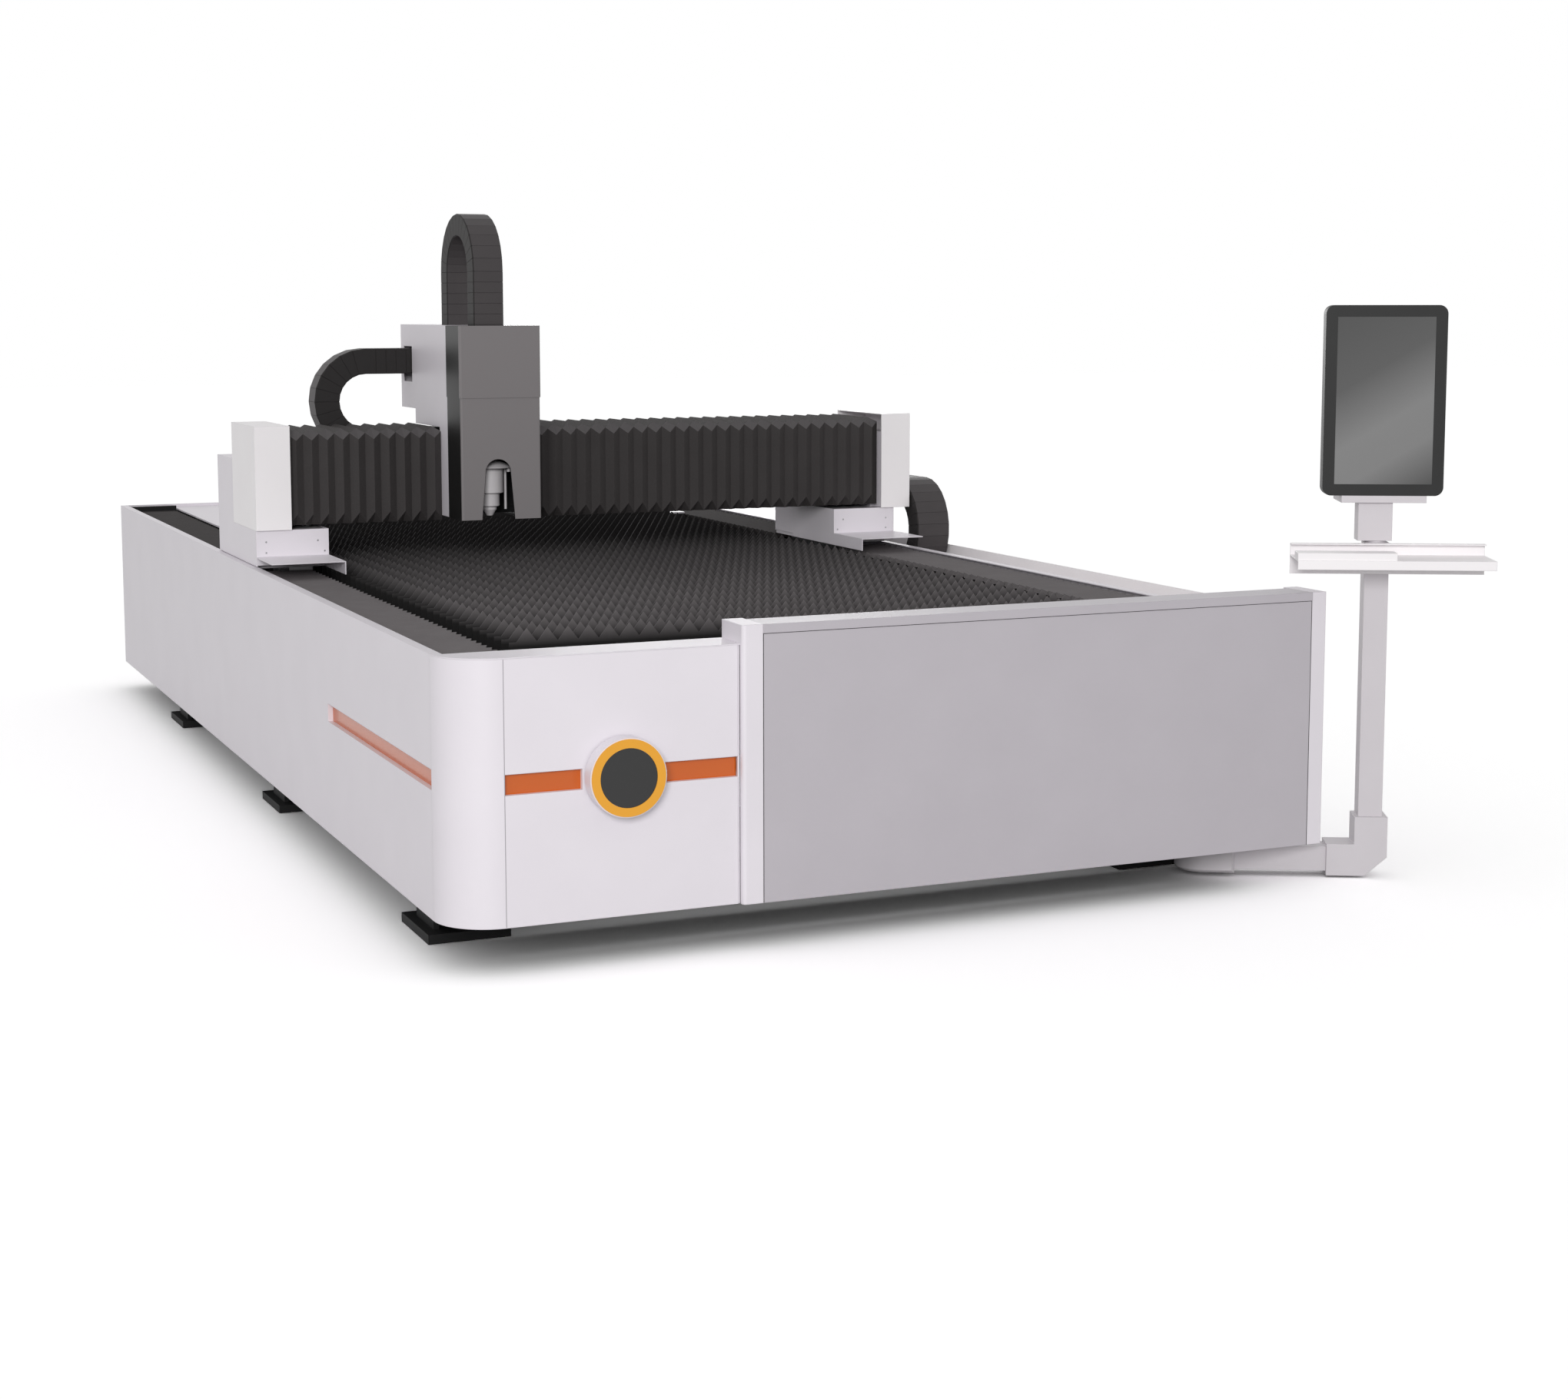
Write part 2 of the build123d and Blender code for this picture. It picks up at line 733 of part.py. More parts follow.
with BuildPart() as y_chain_bend_links:
    with BuildSketch(Plane.YZ.offset(chain_x[0])):
        with BuildLine():
            outer = CenterArc((y_bend, y_axis), y_chain_outer, 90, 180)
            inner = CenterArc((y_bend, y_axis), y_chain_inner, 90, 180)
            Line(outer @ 0, inner @ 0)
            Line(outer @ 1, inner @ 1)
        make_face()
    extrude(amount=y_chain_width)
y_chain_bend_links.part.label = "y_chain_bend"
export_step(y_chain_bend_links.part, "parts/y_chain_bend.step")

with BuildPart() as y_chain_upper_run:
    upper_y = (y_bend, front + y_chain_moving_end)
    block(chain_x, upper_y, (y_axis + y_chain_inner, y_axis + y_chain_outer))
y_chain_upper_run.part.label = "y_chain_upper_run"
export_step(y_chain_upper_run.part, "parts/y_chain_upper_run.step")

# Arm that ties the chain's upper run to the gantry
with BuildPart() as y_chain_arm:
    arm_z = (y_axis + y_chain_inner, y_axis + y_chain_outer - sheet)
    arm_web = (chain_x[0] - arm_from_chain - arm_sheet, chain_x[0] - arm_from_chain)
    gantry_right = panel_right - cap_left
    block(arm_web, bed_y(cap_back + y_chain_width / 2, y_chain_moving_end), arm_z)
    block((gantry_right, arm_web[0]), bed_y(cap_back + y_chain_width / 2, base_back), arm_z)
    arm_foot = (y_axis + y_chain_inner - arm_sheet, y_axis + y_chain_inner)
    foot_y = bed_y(y_chain_moving_end - y_chain_width, y_chain_moving_end)
    block((arm_web[0], chain_x[1]), foot_y, arm_foot)
y_chain_arm.part.label = "y_chain_arm"
export_step(y_chain_arm.part, "parts/y_chain_arm.step")

# Gantry saddles: base plate, hollow body and the feet of the beam above
with BuildPart() as saddles:
    plate_z = bed_z(base_bottom, base_bottom + base_plate_thickness)
    inner_edge = cap_left + base_width - sheet
    for side in SIDES:
        plate_x = from_edge(side, side_ledge + shaft_room, inner_edge)
        narrow_x = from_edge(side, side_ledge + shaft_room, cap_left + motor_cover_width - sheet)
        block(plate_x, bed_y(base_plate_front, base_back - sheet), plate_z)
        block(narrow_x, bed_y(base_back - sheet, motor_cover_back - sheet), plate_z)
        body_x = from_edge(side, saddle_outer, inner_edge)
        body_y = bed_y(base_front + sheet, cap_back - sheet)
        block(body_x, body_y, (plate_z[1], low + saddle_top))
        hollow_x = from_edge(side, saddle_outer + saddle_wall, inner_edge - saddle_wall)
        hollow_z = (plate_z[1], low + saddle_top - saddle_wall)
        block(hollow_x, body_y, hollow_z, mode=Mode.SUBTRACT)
        pinion_x = middle + side * (panel_width / 2 - pinion_from_edge)
        with Locations((pinion_x, front + y_motor_place, plate_z[0])):
            Cylinder(
                shaft_radius + shaft_room,
                base_plate_thickness,
                align=(Align.CENTER, Align.CENTER, Align.MIN),
                mode=Mode.SUBTRACT,
            )
saddles.part.label = "saddles"
export_step(saddles.part, "parts/saddles.step")

# Bearing blocks that ride the bed rails
with BuildPart() as y_bearing_blocks:
    block_z = (beam_top + block_under, low + base_bottom)
    for side in SIDES:
        rail_x = middle + side * (panel_width / 2 - rail_from_edge)
        for block_start in block_starts:
            block_y = bed_y(block_start, block_start + block_length)
            block((rail_x - block_width / 2, rail_x + block_width / 2), block_y, block_z)
            groove = rail_width / 2 + seat
            groove_z = (block_z[0], beam_top + rail_height + seat)
            block((rail_x - groove, rail_x + groove), block_y, groove_z, mode=Mode.SUBTRACT)
y_bearing_blocks.part.label = "y_bearing_blocks"
export_step(y_bearing_blocks.part, "parts/y_bearing_blocks.step")

# Sheet covers over the saddles, with a flange that reaches forward over the rail covers
with BuildPart() as saddle_covers:
    for side in SIDES:
        wide_x = from_edge(side, cap_left, cap_left + base_width)
        inner_x = from_edge(side, inner_edge, cap_left + base_width)
        outer_x = from_edge(side, cap_left, cap_left + sheet)
        cover_z = (low + cover_clearance, low + cap_bottom)
        block(wide_x, bed_y(base_front, base_front + sheet), (plate_z[1], cover_z[1]))
        block(outer_x, bed_y(base_front, cap_back), cover_z)
        block(inner_x, bed_y(base_front, cap_back), (low + base_bottom, cover_z[1]))
        block(wide_x, bed_y(flange_front, base_front), bed_z(flange_top - sheet, flange_top))
        block(inner_x, bed_y(flange_front, base_front), bed_z(base_bottom, flange_top))
saddle_covers.part.label = "saddle_covers"
export_step(saddle_covers.part, "parts/saddle_covers.step")

# Covers over the two drive motors, behind the end caps
with BuildPart() as motor_covers:
    for side in SIDES:
        wide_x = from_edge(side, cap_left, cap_left + base_width)
        narrow_x = from_edge(side, cap_left, cap_left + motor_cover_width)
        cover_z = bed_z(cover_clearance, motor_cover_top)
        block(wide_x, bed_y(cap_back, base_back), cover_z)
        block(narrow_x, bed_y(base_back, motor_cover_back), cover_z)
        hollow_z = (cover_z[0], cover_z[1] - sheet)
        wide_hollow = from_edge(side, cap_left + sheet, cap_left + base_width - sheet)
        narrow_hollow = from_edge(side, cap_left + sheet, cap_left + motor_cover_width - sheet)
        wide_hollow_y = bed_y(cap_back + sheet, base_back - sheet)
        block(wide_hollow, wide_hollow_y, hollow_z, mode=Mode.SUBTRACT)
        narrow_hollow_y = bed_y(base_back - sheet, motor_cover_back - sheet)
        block(narrow_hollow, narrow_hollow_y, hollow_z, mode=Mode.SUBTRACT)
        under_z = (cover_z[0], plate_z[1])
        block(wide_hollow, bed_y(cap_back, cap_back + sheet), under_z, mode=Mode.SUBTRACT)
motor_covers.part.label = "motor_covers"
export_step(motor_covers.part, "parts/motor_covers.step")

# Drive motors with their gearboxes, and the pinions that run along the racks
gearbox_z = (plate_z[1], plate_z[1] + gearbox_height)
with BuildPart() as y_motors:
    for side in SIDES:
        pinion_x = middle + side * (panel_width / 2 - pinion_from_edge)
        with BuildSketch(Plane.XY.offset(gearbox_z[0])):
            with Locations((pinion_x, front + y_motor_place)):
                Rectangle(gearbox_size, gearbox_size)
        extrude(amount=gearbox_height)
        with BuildSketch(Plane.XY.offset(gearbox_z[1])):
            with Locations((pinion_x, front + y_motor_place)):
                RectangleRounded(motor_size, motor_size, motor_size / 8)
        extrude(amount=y_motor_height)
        with Locations((pinion_x, front + y_motor_place, gearbox_z[0])):
            Cylinder(
                shaft_radius + seat,
                gearbox_height * bore_share,
                align=(Align.CENTER, Align.CENTER, Align.MIN),
                mode=Mode.SUBTRACT,
            )
y_motors.part.label = "y_motors"
export_step(y_motors.part, "parts/y_motors.step")

for side, hand in ((-1, "left"), (1, "right")):
    pinion_x = middle + side * (panel_width / 2 - pinion_from_edge)
    pinion_low = beam_top + rack_height - pinion_height
    with BuildPart() as y_pinion:
        with BuildSketch(Plane.XY.offset(pinion_low)):
            with Locations((pinion_x, front + y_motor_place)):
                Circle(pinion_radius)
        extrude(amount=pinion_height)
        with BuildSketch(Plane.XY.offset(pinion_low + pinion_height)):
            with Locations((pinion_x, front + y_motor_place)):
                Circle(shaft_radius)
        shaft_end = gearbox_z[0] + gearbox_height * shaft_share
        extrude(amount=shaft_end - pinion_low - pinion_height)
    y_pinion.part.label = f"y_pinion_{hand}"
    export_step(y_pinion.part, f"parts/y_pinion_{hand}.step")

# Beam: a rectangular tube on a foot at each end
with BuildPart() as gantry_beam:
    beam_y = bed_y(beam_front, beam_back)
    beam_z = bed_z(beam_low, beam_high)
    beam_left = left_cap_x[0] + beam_end_inset
    beam_right = right_cap_x[1] - beam_end_inset
    with BuildSketch(Plane.YZ.offset(beam_left)):
        with Locations(((beam_y[0] + beam_y[1]) / 2, (beam_z[0] + beam_z[1]) / 2)):
            Rectangle(beam_back - beam_front, beam_high - beam_low)
            Rectangle(
                beam_back - beam_front - 2 * beam_skin,
                beam_high - beam_low - 2 * beam_skin,
                mode=Mode.SUBTRACT,
            )
    extrude(amount=beam_right - beam_left)
    left_foot = (beam_left, left_cap_x[1] - sheet)
    right_foot = (right_cap_x[0] + sheet, panel_right - saddle_outer)
    for foot_x in (left_foot, right_foot):
        block(foot_x, beam_y, (low + saddle_top, beam_z[0] + beam_skin))
gantry_beam.part.label = "gantry_beam"
export_step(gantry_beam.part, "parts/gantry_beam.step")

# Rails on the beam's front and the rack on its top
beam_rail_x = (left_cap_x[1] + sheet, right_cap_x[0] - sheet)
with BuildPart() as beam_rails:
    for height in x_rail_heights:
        rail_z = bed_z(height - x_rail_width / 2, height + x_rail_width / 2)
        block(beam_rail_x, bed_y(beam_front - x_rail_height, beam_front), rail_z)
    rack_y = bed_y(beam_back - x_rack_back - x_rack_width, beam_back - x_rack_back)
    block(beam_rail_x, rack_y, bed_z(beam_high, beam_high + x_rack_height))
beam_rails.part.label = "beam_rails"
export_step(beam_rails.part, "parts/beam_rails.step")

# End caps of the gantry: sheet boxes, open below and towards the beam
cap_y = bed_y(cap_front, cap_back)
cap_z = bed_z(cap_bottom, cap_top)
with BuildPart() as end_caps:
    block(left_cap_x, cap_y, cap_z)
    block(right_cap_x, cap_y, cap_z)
    hollow_y = (cap_y[0] + sheet, cap_y[1] - sheet)
    hollow_z = (cap_z[0], cap_z[1] - sheet)
    block((left_cap_x[0] + sheet, left_cap_x[1]), hollow_y, hollow_z, mode=Mode.SUBTRACT)
    block((right_cap_x[0], right_cap_x[1] - sheet), hollow_y, hollow_z, mode=Mode.SUBTRACT)
end_caps.part.label = "end_caps"
export_step(end_caps.part, "parts/end_caps.step")


def beam_bellows(start, end, pleats):
    """Pleated cover round the beam, open behind, from start to end along X."""
    sections = []
    for number in range(2 * pleats + 1):
        place = start + (end - start) * number / (2 * pleats)
        inset = pleat_depth if number % 2 == 0 else 0
        face = front + pleat_front + inset
        back = front + pleat_back
        bottom = low + pleat_low + inset
        top = low + pleat_high - inset
        corner = pleat_chamfer
        inner_corner = corner - pleat_corner_step
        with BuildSketch(Plane.YZ.offset(place)) as section:
            with BuildLine():
                Polyline(
                    (back, bottom),
                    (face + corner, bottom),
                    (face, bottom + corner),
                    (face, top - corner),
                    (face + corner, top),
                    (back, top),
                    (back, top - pleat_wall),
                    (face + pleat_wall + inner_corner, top - pleat_wall),
                    (face + pleat_wall, top - pleat_wall - inner_corner),
                    (face + pleat_wall, bottom + pleat_wall + inner_corner),
                    (face + pleat_wall + inner_corner, bottom + pleat_wall),
                    (back, bottom + pleat_wall),
                    close=True,
                )
            make_face()
        sections.append(section.sketch.faces()[0])
    with BuildPart() as bellows:
        loft(sections, ruled=True)
    return bellows


beam_bellows_left = beam_bellows(left_cap_x[1], head_x, left_pleats)
beam_bellows_left.part.label = "beam_bellows_left"
export_step(beam_bellows_left.part, "parts/beam_bellows_left.step")

beam_bellows_right = beam_bellows(head_right, right_cap_x[0], right_pleats)
beam_bellows_right.part.label = "beam_bellows_right"
export_step(beam_bellows_right.part, "parts/beam_bellows_right.step")

# Cable chain of the head's travel: a lower run in its tray, a half-round bend, an upper run
x_chain_y = bed_y(x_chain_front, x_chain_front + x_chain_width)
x_axis = low + x_chain_axis
x_bend = left + x_chain_bend
x_fixed = left + x_chain_fixed_end
tray_floor = low + motor_cover_top
with BuildPart() as x_chain_tray:
    tray_x = (left + cap_left + tray_from_cap, panel_right - cap_left - tray_from_cap)
    tray_y = (x_chain_y[0] - tray_margin, x_chain_y[1] + tray_margin)
    block(tray_x, tray_y, (tray_floor, tray_floor + tray_side))
    channel_y = (tray_y[0] + tray_sheet, tray_y[1] - tray_sheet)
    block(tray_x, channel_y, (tray_floor + tray_sheet, tray_floor + tray_side), mode=Mode.SUBTRACT)
x_chain_tray.part.label = "x_chain_tray"
export_step(x_chain_tray.part, "parts/x_chain_tray.step")

with BuildPart() as x_chain_lower_run:
    block((x_bend, x_fixed), x_chain_y, (x_axis - x_chain_outer, x_axis - x_chain_inner))
    clip_x = (x_fixed - x_chain_width, x_fixed)
    block(clip_x, x_chain_y, (tray_floor + tray_sheet, x_axis - x_chain_outer))
x_chain_lower_run.part.label = "x_chain_lower_run"
export_step(x_chain_lower_run.part, "parts/x_chain_lower_run.step")

with BuildPart() as x_chain_bend_links:
    with BuildSketch(Plane.XZ.offset(-x_chain_y[0])):
        with BuildLine():
            outer = CenterArc((x_bend, x_axis), x_chain_outer, 90, 180)
            inner = CenterArc((x_bend, x_axis), x_chain_inner, 90, 180)
            Line(outer @ 0, inner @ 0)
            Line(outer @ 1, inner @ 1)
        make_face()
    extrude(amount=-x_chain_width)
x_chain_bend_links.part.label = "x_chain_bend"
export_step(x_chain_bend_links.part, "parts/x_chain_bend.step")

upper_x = (x_bend, left + x_chain_moving_end)
upper_z = (x_axis + x_chain_inner, x_axis + x_chain_outer)
with BuildPart() as x_chain_upper_run:
    block(upper_x, x_chain_y, upper_z)
x_chain_upper_run.part.label = "x_chain_upper_run"
export_step(x_chain_upper_run.part, "parts/x_chain_upper_run.step")

# Head carriage: an upright plate with a shelf for the drive motor and one for the lift motor
inside_x = (head_x + sheet, head_right - sheet)
carriage_y = bed_y(carriage_front, carriage_front + carriage_thickness)
shelf_z = bed_z(shelf_low, shelf_low + shelf_thickness)
motor_x = head_x + x_motor_from_left
motor_y = rack_y[0] - x_pinion_radius - seat
lift_shelf_z = bed_z(carriage_high, carriage_high + shelf_thickness)
screw_place = (cut_x, front + screw_y)
with BuildPart() as carriage_plate:
    block(inside_x, carriage_y, bed_z(carriage_low, carriage_high))
    block(inside_x, (carriage_y[1], front + beam_back + carriage_thickness), shelf_z)
    lift_shelf_x = (cut_x - slide_width / 2, cut_x + slide_width / 2)
    block(lift_shelf_x, bed_y(slide_plate_y, carriage_front + carriage_thickness), lift_shelf_z)
    with Locations((motor_x, motor_y, shelf_z[0])):
        Cylinder(
            x_shaft_radius + shaft_room,
            shelf_thickness,
            align=(Align.CENTER, Align.CENTER, Align.MIN),
            mode=Mode.SUBTRACT,
        )
    with Locations((screw_place[0], screw_place[1], lift_shelf_z[0])):
        Cylinder(
            screw_radius + shaft_room,
            shelf_thickness,
            align=(Align.CENTER, Align.CENTER, Align.MIN),
            mode=Mode.SUBTRACT,
        )
    hanger_x = (upper_x[1] - x_chain_width, upper_x[1])
    hanger_y = bed_y(beam_back + carriage_thickness - shelf_thickness, beam_back + carriage_thickness)
    hanger_z = (upper_z[0] - shelf_thickness, upper_z[0])
    block(hanger_x, hanger_y, (shelf_z[1], hanger_z[0]))
    block(hanger_x, (hanger_y[0], x_chain_y[1]), hanger_z)
carriage_plate.part.label = "carriage_plate"
export_step(carriage_plate.part, "parts/carriage_plate.step")

# Bearing blocks that ride the beam's rails
with BuildPart() as x_bearing_blocks:
    block_y = (carriage_y[1], carriage_y[1] + x_block_depth)
    for height in x_rail_heights:
        for block_left in (inside_x[0] + x_block_inset, inside_x[1] - x_block_inset - x_block_length):
            block_x = (block_left, block_left + x_block_length)
            block_z = bed_z(height - x_block_height / 2, height + x_block_height / 2)
            block(block_x, block_y, block_z)
            groove = x_rail_width / 2 + seat
            groove_y = (front + beam_front - x_rail_height - seat, block_y[1])
            block(block_x, groove_y, bed_z(height - groove, height + groove), mode=Mode.SUBTRACT)
x_bearing_blocks.part.label = "x_bearing_blocks"
export_step(x_bearing_blocks.part, "parts/x_bearing_blocks.step")

# Drive motor of the head's travel and lift motor
with BuildPart() as head_motors:
    with BuildSketch(Plane.XY.offset(shelf_z[1])):
        with Locations((motor_x, motor_y)):
            Rectangle(gearbox_size, gearbox_size)
    extrude(amount=gearbox_height)
    with BuildSketch(Plane.XY.offset(shelf_z[1] + gearbox_height)):
        with Locations((motor_x, motor_y)):
            RectangleRounded(motor_size, motor_size, motor_size / 8)
    extrude(amount=y_motor_height / 2)
    with BuildSketch(Plane.XY.offset(lift_shelf_z[1])):
        with Locations(screw_place):
            RectangleRounded(motor_size, motor_size, motor_size / 8)
    extrude(amount=z_motor_height)
    with Locations((motor_x, motor_y, shelf_z[1])):
        Cylinder(
            x_shaft_radius + seat,
            gearbox_height * bore_share,
            align=(Align.CENTER, Align.CENTER, Align.MIN),
            mode=Mode.SUBTRACT,
        )
    with Locations((screw_place[0], screw_place[1], lift_shelf_z[1])):
        Cylinder(
            screw_radius + seat,
            z_motor_height * bore_share,
            align=(Align.CENTER, Align.CENTER, Align.MIN),
            mode=Mode.SUBTRACT,
        )
head_motors.part.label = "head_motors"
export_step(head_motors.part, "parts/head_motors.step")

x_pinion_low = low + beam_high + x_rack_height - pinion_height
with BuildPart() as x_pinion:
    with BuildSketch(Plane.XY.offset(x_pinion_low)):
        with Locations((motor_x, motor_y)):
            Circle(x_pinion_radius)
    extrude(amount=pinion_height)
    with BuildSketch(Plane.XY.offset(x_pinion_low + pinion_height)):
        with Locations((motor_x, motor_y)):
            Circle(x_shaft_radius)
    shaft_end = shelf_z[1] + gearbox_height * shaft_share
    extrude(amount=shaft_end - x_pinion_low - pinion_height)
x_pinion.part.label = "x_pinion"
export_step(x_pinion.part, "parts/x_pinion.step")

# Upright rails on the carriage for the cutting head's slide, and the lift screw
z_rail_y = (carriage_y[0] - z_rail_height, carriage_y[0])
with BuildPart() as z_rails:
    for side in SIDES:
        rail_x = cut_x + side * z_rail_spread / 2
        rail_span = (rail_x - z_rail_width / 2, rail_x + z_rail_width / 2)
        block(rail_span, z_rail_y, bed_z(z_rail_low, z_rail_high))
z_rails.part.label = "z_rails"
export_step(z_rails.part, "parts/z_rails.step")

with BuildPart() as lift_screw:
    with BuildSketch(Plane.XY.offset(low + screw_low)):
        with Locations(screw_place):
            Circle(screw_radius)
    screw_end = lift_shelf_z[1] + z_motor_height * shaft_share
    extrude(amount=screw_end - low - screw_low)
lift_screw.part.label = "lift_screw"
export_step(lift_screw.part, "parts/lift_screw.step")

# Slide of the cutting head: plate, bearing blocks, screw nut and the chain's bracket
slide_y = bed_y(slide_plate_y, slide_plate_y + slide_plate_thickness)
z_chain_x = (head_x + z_chain_left, head_x + z_chain_left + z_chain_width)
z_chain_leg = bed_y(z_chain_front, z_chain_front + z_chain_outer - z_chain_inner)
with BuildPart() as head_slide:
    block((cut_x - slide_width / 2, cut_x + slide_width / 2), slide_y, bed_z(slide_low, slide_high))
    for side in SIDES:
        rail_x = cut_x + side * z_rail_spread / 2
        groove = z_rail_width / 2 + seat
        for block_start in z_block_starts:
            block_z = bed_z(block_start, block_start + z_block_length)
            block_y = (slide_y[1], carriage_y[0] - block_under)
            block((rail_x - z_rail_width, rail_x + z_rail_width), block_y, block_z)
            groove_y = (z_rail_y[0] - seat, block_y[1])
            block((rail_x - groove, rail_x + groove), groove_y, block_z, mode=Mode.SUBTRACT)
    nut_z = bed_z((slide_low + slide_high) / 2, (slide_low + slide_high) / 2 + z_rail_width * 2)
    nut_x = (cut_x - z_rail_width, cut_x + z_rail_width)
    block(nut_x, (slide_y[1], carriage_y[0] - block_under / 2), nut_z)
    with Locations((screw_place[0], screw_place[1], nut_z[0])):
        Cylinder(
            screw_radius + seat,
            nut_z[1] - nut_z[0],
            align=(Align.CENTER, Align.CENTER, Align.MIN),
            mode=Mode.SUBTRACT,
        )
    block(z_chain_x, (z_chain_leg[0], slide_y[0]), bed_z(slide_high - shelf_thickness, slide_high))
head_slide.part.label = "head_slide"
export_step(head_slide.part, "parts/head_slide.step")

# Cutting head: a turned stack under a domed cap, with a pad that bolts to the slide
turned_profile = (
    (0, nozzle_seat),
    (tip_radius, nozzle_seat),
    (tip_radius, nozzle_seat + tip_height),
    (lower_barrel_radius, nozzle_seat + tip_height + barrel_chamfer),
    (lower_barrel_radius, barrel_split),
    (upper_barrel_radius, barrel_split + barrel_chamfer),
    (upper_barrel_radius, dome_low),
    (dome_radius - barrel_chamfer, dome_low),
    (dome_radius, dome_low + barrel_chamfer / 2),
)
dome_rise = dome_high - dome_low - barrel_chamfer / 2
dome_sphere = (dome_radius**2 + dome_rise**2) / (2 * dome_rise)
shoulder_drop = dome_sphere - sqrt(dome_sphere**2 - dome_radius**2 / 4)
with BuildPart() as cutting_head:
    with BuildSketch(Plane.XZ.offset(-cut_y)):
        with BuildLine():
            profile = [(cut_x + radius, low + height) for radius, height in turned_profile]
            dome_top = (cut_x, low + dome_high)
            shoulder = (cut_x + dome_radius / 2, low + dome_high - shoulder_drop)
            Polyline(dome_top, *profile)
            ThreePointArc(profile[-1], shoulder, dome_top)
        make_face()
    revolve(axis=Axis((cut_x, cut_y, 0), (0, 0, 1)))
    pad_x = (cut_x - pad_half, cut_x + pad_half)
    block(pad_x, (cut_y + pad_half, slide_y[0]), bed_z(slide_low, dome_low))
    for side in SIDES:
        stud_x = cut_x + side * (dome_radius - stud_inset)
        stud_place = (stud_x, cut_y - stud_forward, low + dome_low - stud_height)
        with Locations(stud_place):
            Cylinder(
                stud_radius,
                stud_height + stud_bury,
                align=(Align.CENTER, Align.CENTER, Align.MIN),
            )
    rod_x = cut_x + upper_barrel_radius + rod_gap + rod_radius
    with Locations((rod_x, cut_y, low + nozzle_seat)):
        Cylinder(
            rod_radius,
            dome_low - nozzle_seat,
            align=(Align.CENTER, Align.CENTER, Align.MIN),
        )
cutting_head.part.label = "cutting_head"
export_step(cutting_head.part, "parts/cutting_head.step")

with BuildPart() as nozzle:
    nozzle_low = low + nozzle_seat - nozzle_length
    with BuildSketch(Plane.XY.offset(nozzle_low)):
        with Locations((cut_x, cut_y)):
            Circle(nozzle_tip_radius)
    with BuildSketch(Plane.XY.offset(low + nozzle_seat)):
        with Locations((cut_x, cut_y)):
            Circle(tip_radius - nozzle_rim)
    loft()
    with Locations((cut_x, cut_y, nozzle_low)):
        Cylinder(
            nozzle_bore,
            nozzle_length,
            align=(Align.CENTER, Align.CENTER, Align.MIN),
            mode=Mode.SUBTRACT,
        )
nozzle.part.label = "nozzle"
export_step(nozzle.part, "parts/nozzle.step")

# Lower front cover of the head, with the arch in front of the cutting head
head_face = front + head_front
side_start = front + head_side_start
with BuildPart() as lower_head_cover:
    block((head_x, head_right), (head_face, side_start), bed_z(head_low, head_split))
    block(inside_x, (head_face + sheet, side_start), bed_z(head_low, head_split), mode=Mode.SUBTRACT)
    with BuildSketch(Plane.XZ.offset(-head_face - sheet)):
        with BuildLine():
            arch = ThreePointArc(
                (cut_x - arch_high_half, low + arch_spring),
                (cut_x, low + arch_spring + arch_rise),
                (cut_x + arch_high_half, low + arch_spring),
            )
            Polyline(
                arch @ 1,
                (cut_x + arch_low_half, low + head_low),
                (cut_x - arch_low_half, low + head_low),
                arch @ 0,
            )
        make_face()
    extrude(amount=sheet, mode=Mode.SUBTRACT)
    front_edges = lower_head_cover.edges().filter_by(Axis.Z).group_by(Axis.Y)[0]
    long_edges = front_edges.group_by(SortBy.LENGTH)[-1]
    fillet(long_edges, radius=head_round)
lower_head_cover.part.label = "lower_head_cover"
export_step(lower_head_cover.part, "parts/lower_head_cover.step")

# Upper front cover, slightly wider, with a slot in its top for the moving chain leg
with BuildPart() as upper_head_cover:
    cover_x = (head_x - lap, head_right + lap)
    cover_y = (head_face - lap, side_start)
    block(cover_x, cover_y, bed_z(head_split, head_high))
    hollow_x = (cover_x[0] + sheet, cover_x[1] - sheet)
    hollow_y = (cover_y[0] + sheet, side_start)
    block(hollow_x, hollow_y, bed_z(head_split, head_high - sheet), mode=Mode.SUBTRACT)
    slot_x = (z_chain_x[0] - chain_room, z_chain_x[1] + chain_room)
    slot_y = (z_chain_leg[0] - chain_room, z_chain_leg[1] + chain_room)
    block(slot_x, slot_y, bed_z(head_high - sheet, head_high), mode=Mode.SUBTRACT)
    front_edges = upper_head_cover.edges().filter_by(Axis.Z).group_by(Axis.Y)[0]
    fillet(front_edges, radius=head_round)
upper_head_cover.part.label = "upper_head_cover"
export_step(upper_head_cover.part, "parts/upper_head_cover.step")

# Side plates of the head, cut out round the beam, and its top plate
notch_y = (x_chain_y[0] - chain_room, x_chain_y[1] + chain_room)
notch_z = (x_axis + x_chain_inner * notch_share, upper_z[1] + chain_room)
side_end = front + head_side_end
below_step = bed_z(head_low, head_step)
window_y = (carriage_y[1], side_end)
beam_window = bed_z(head_low, pleat_high - window_lap)
with BuildPart() as head_sides:
    for side_x in ((head_x, inside_x[0]), (inside_x[1], head_right)):
        block(side_x, (side_start, side_end), bed_z(head_low, head_high))
        block(side_x, (front + head_step_back, side_end), below_step, mode=Mode.SUBTRACT)
        block(side_x, window_y, beam_window, mode=Mode.SUBTRACT)
    block((head_x, inside_x[0]), (notch_y[0], side_end), notch_z, mode=Mode.SUBTRACT)
    block(inside_x, (side_start, side_end), bed_z(head_high - sheet, head_high))
head_sides.part.label = "head_sides"
export_step(head_sides.part, "parts/head_sides.step")

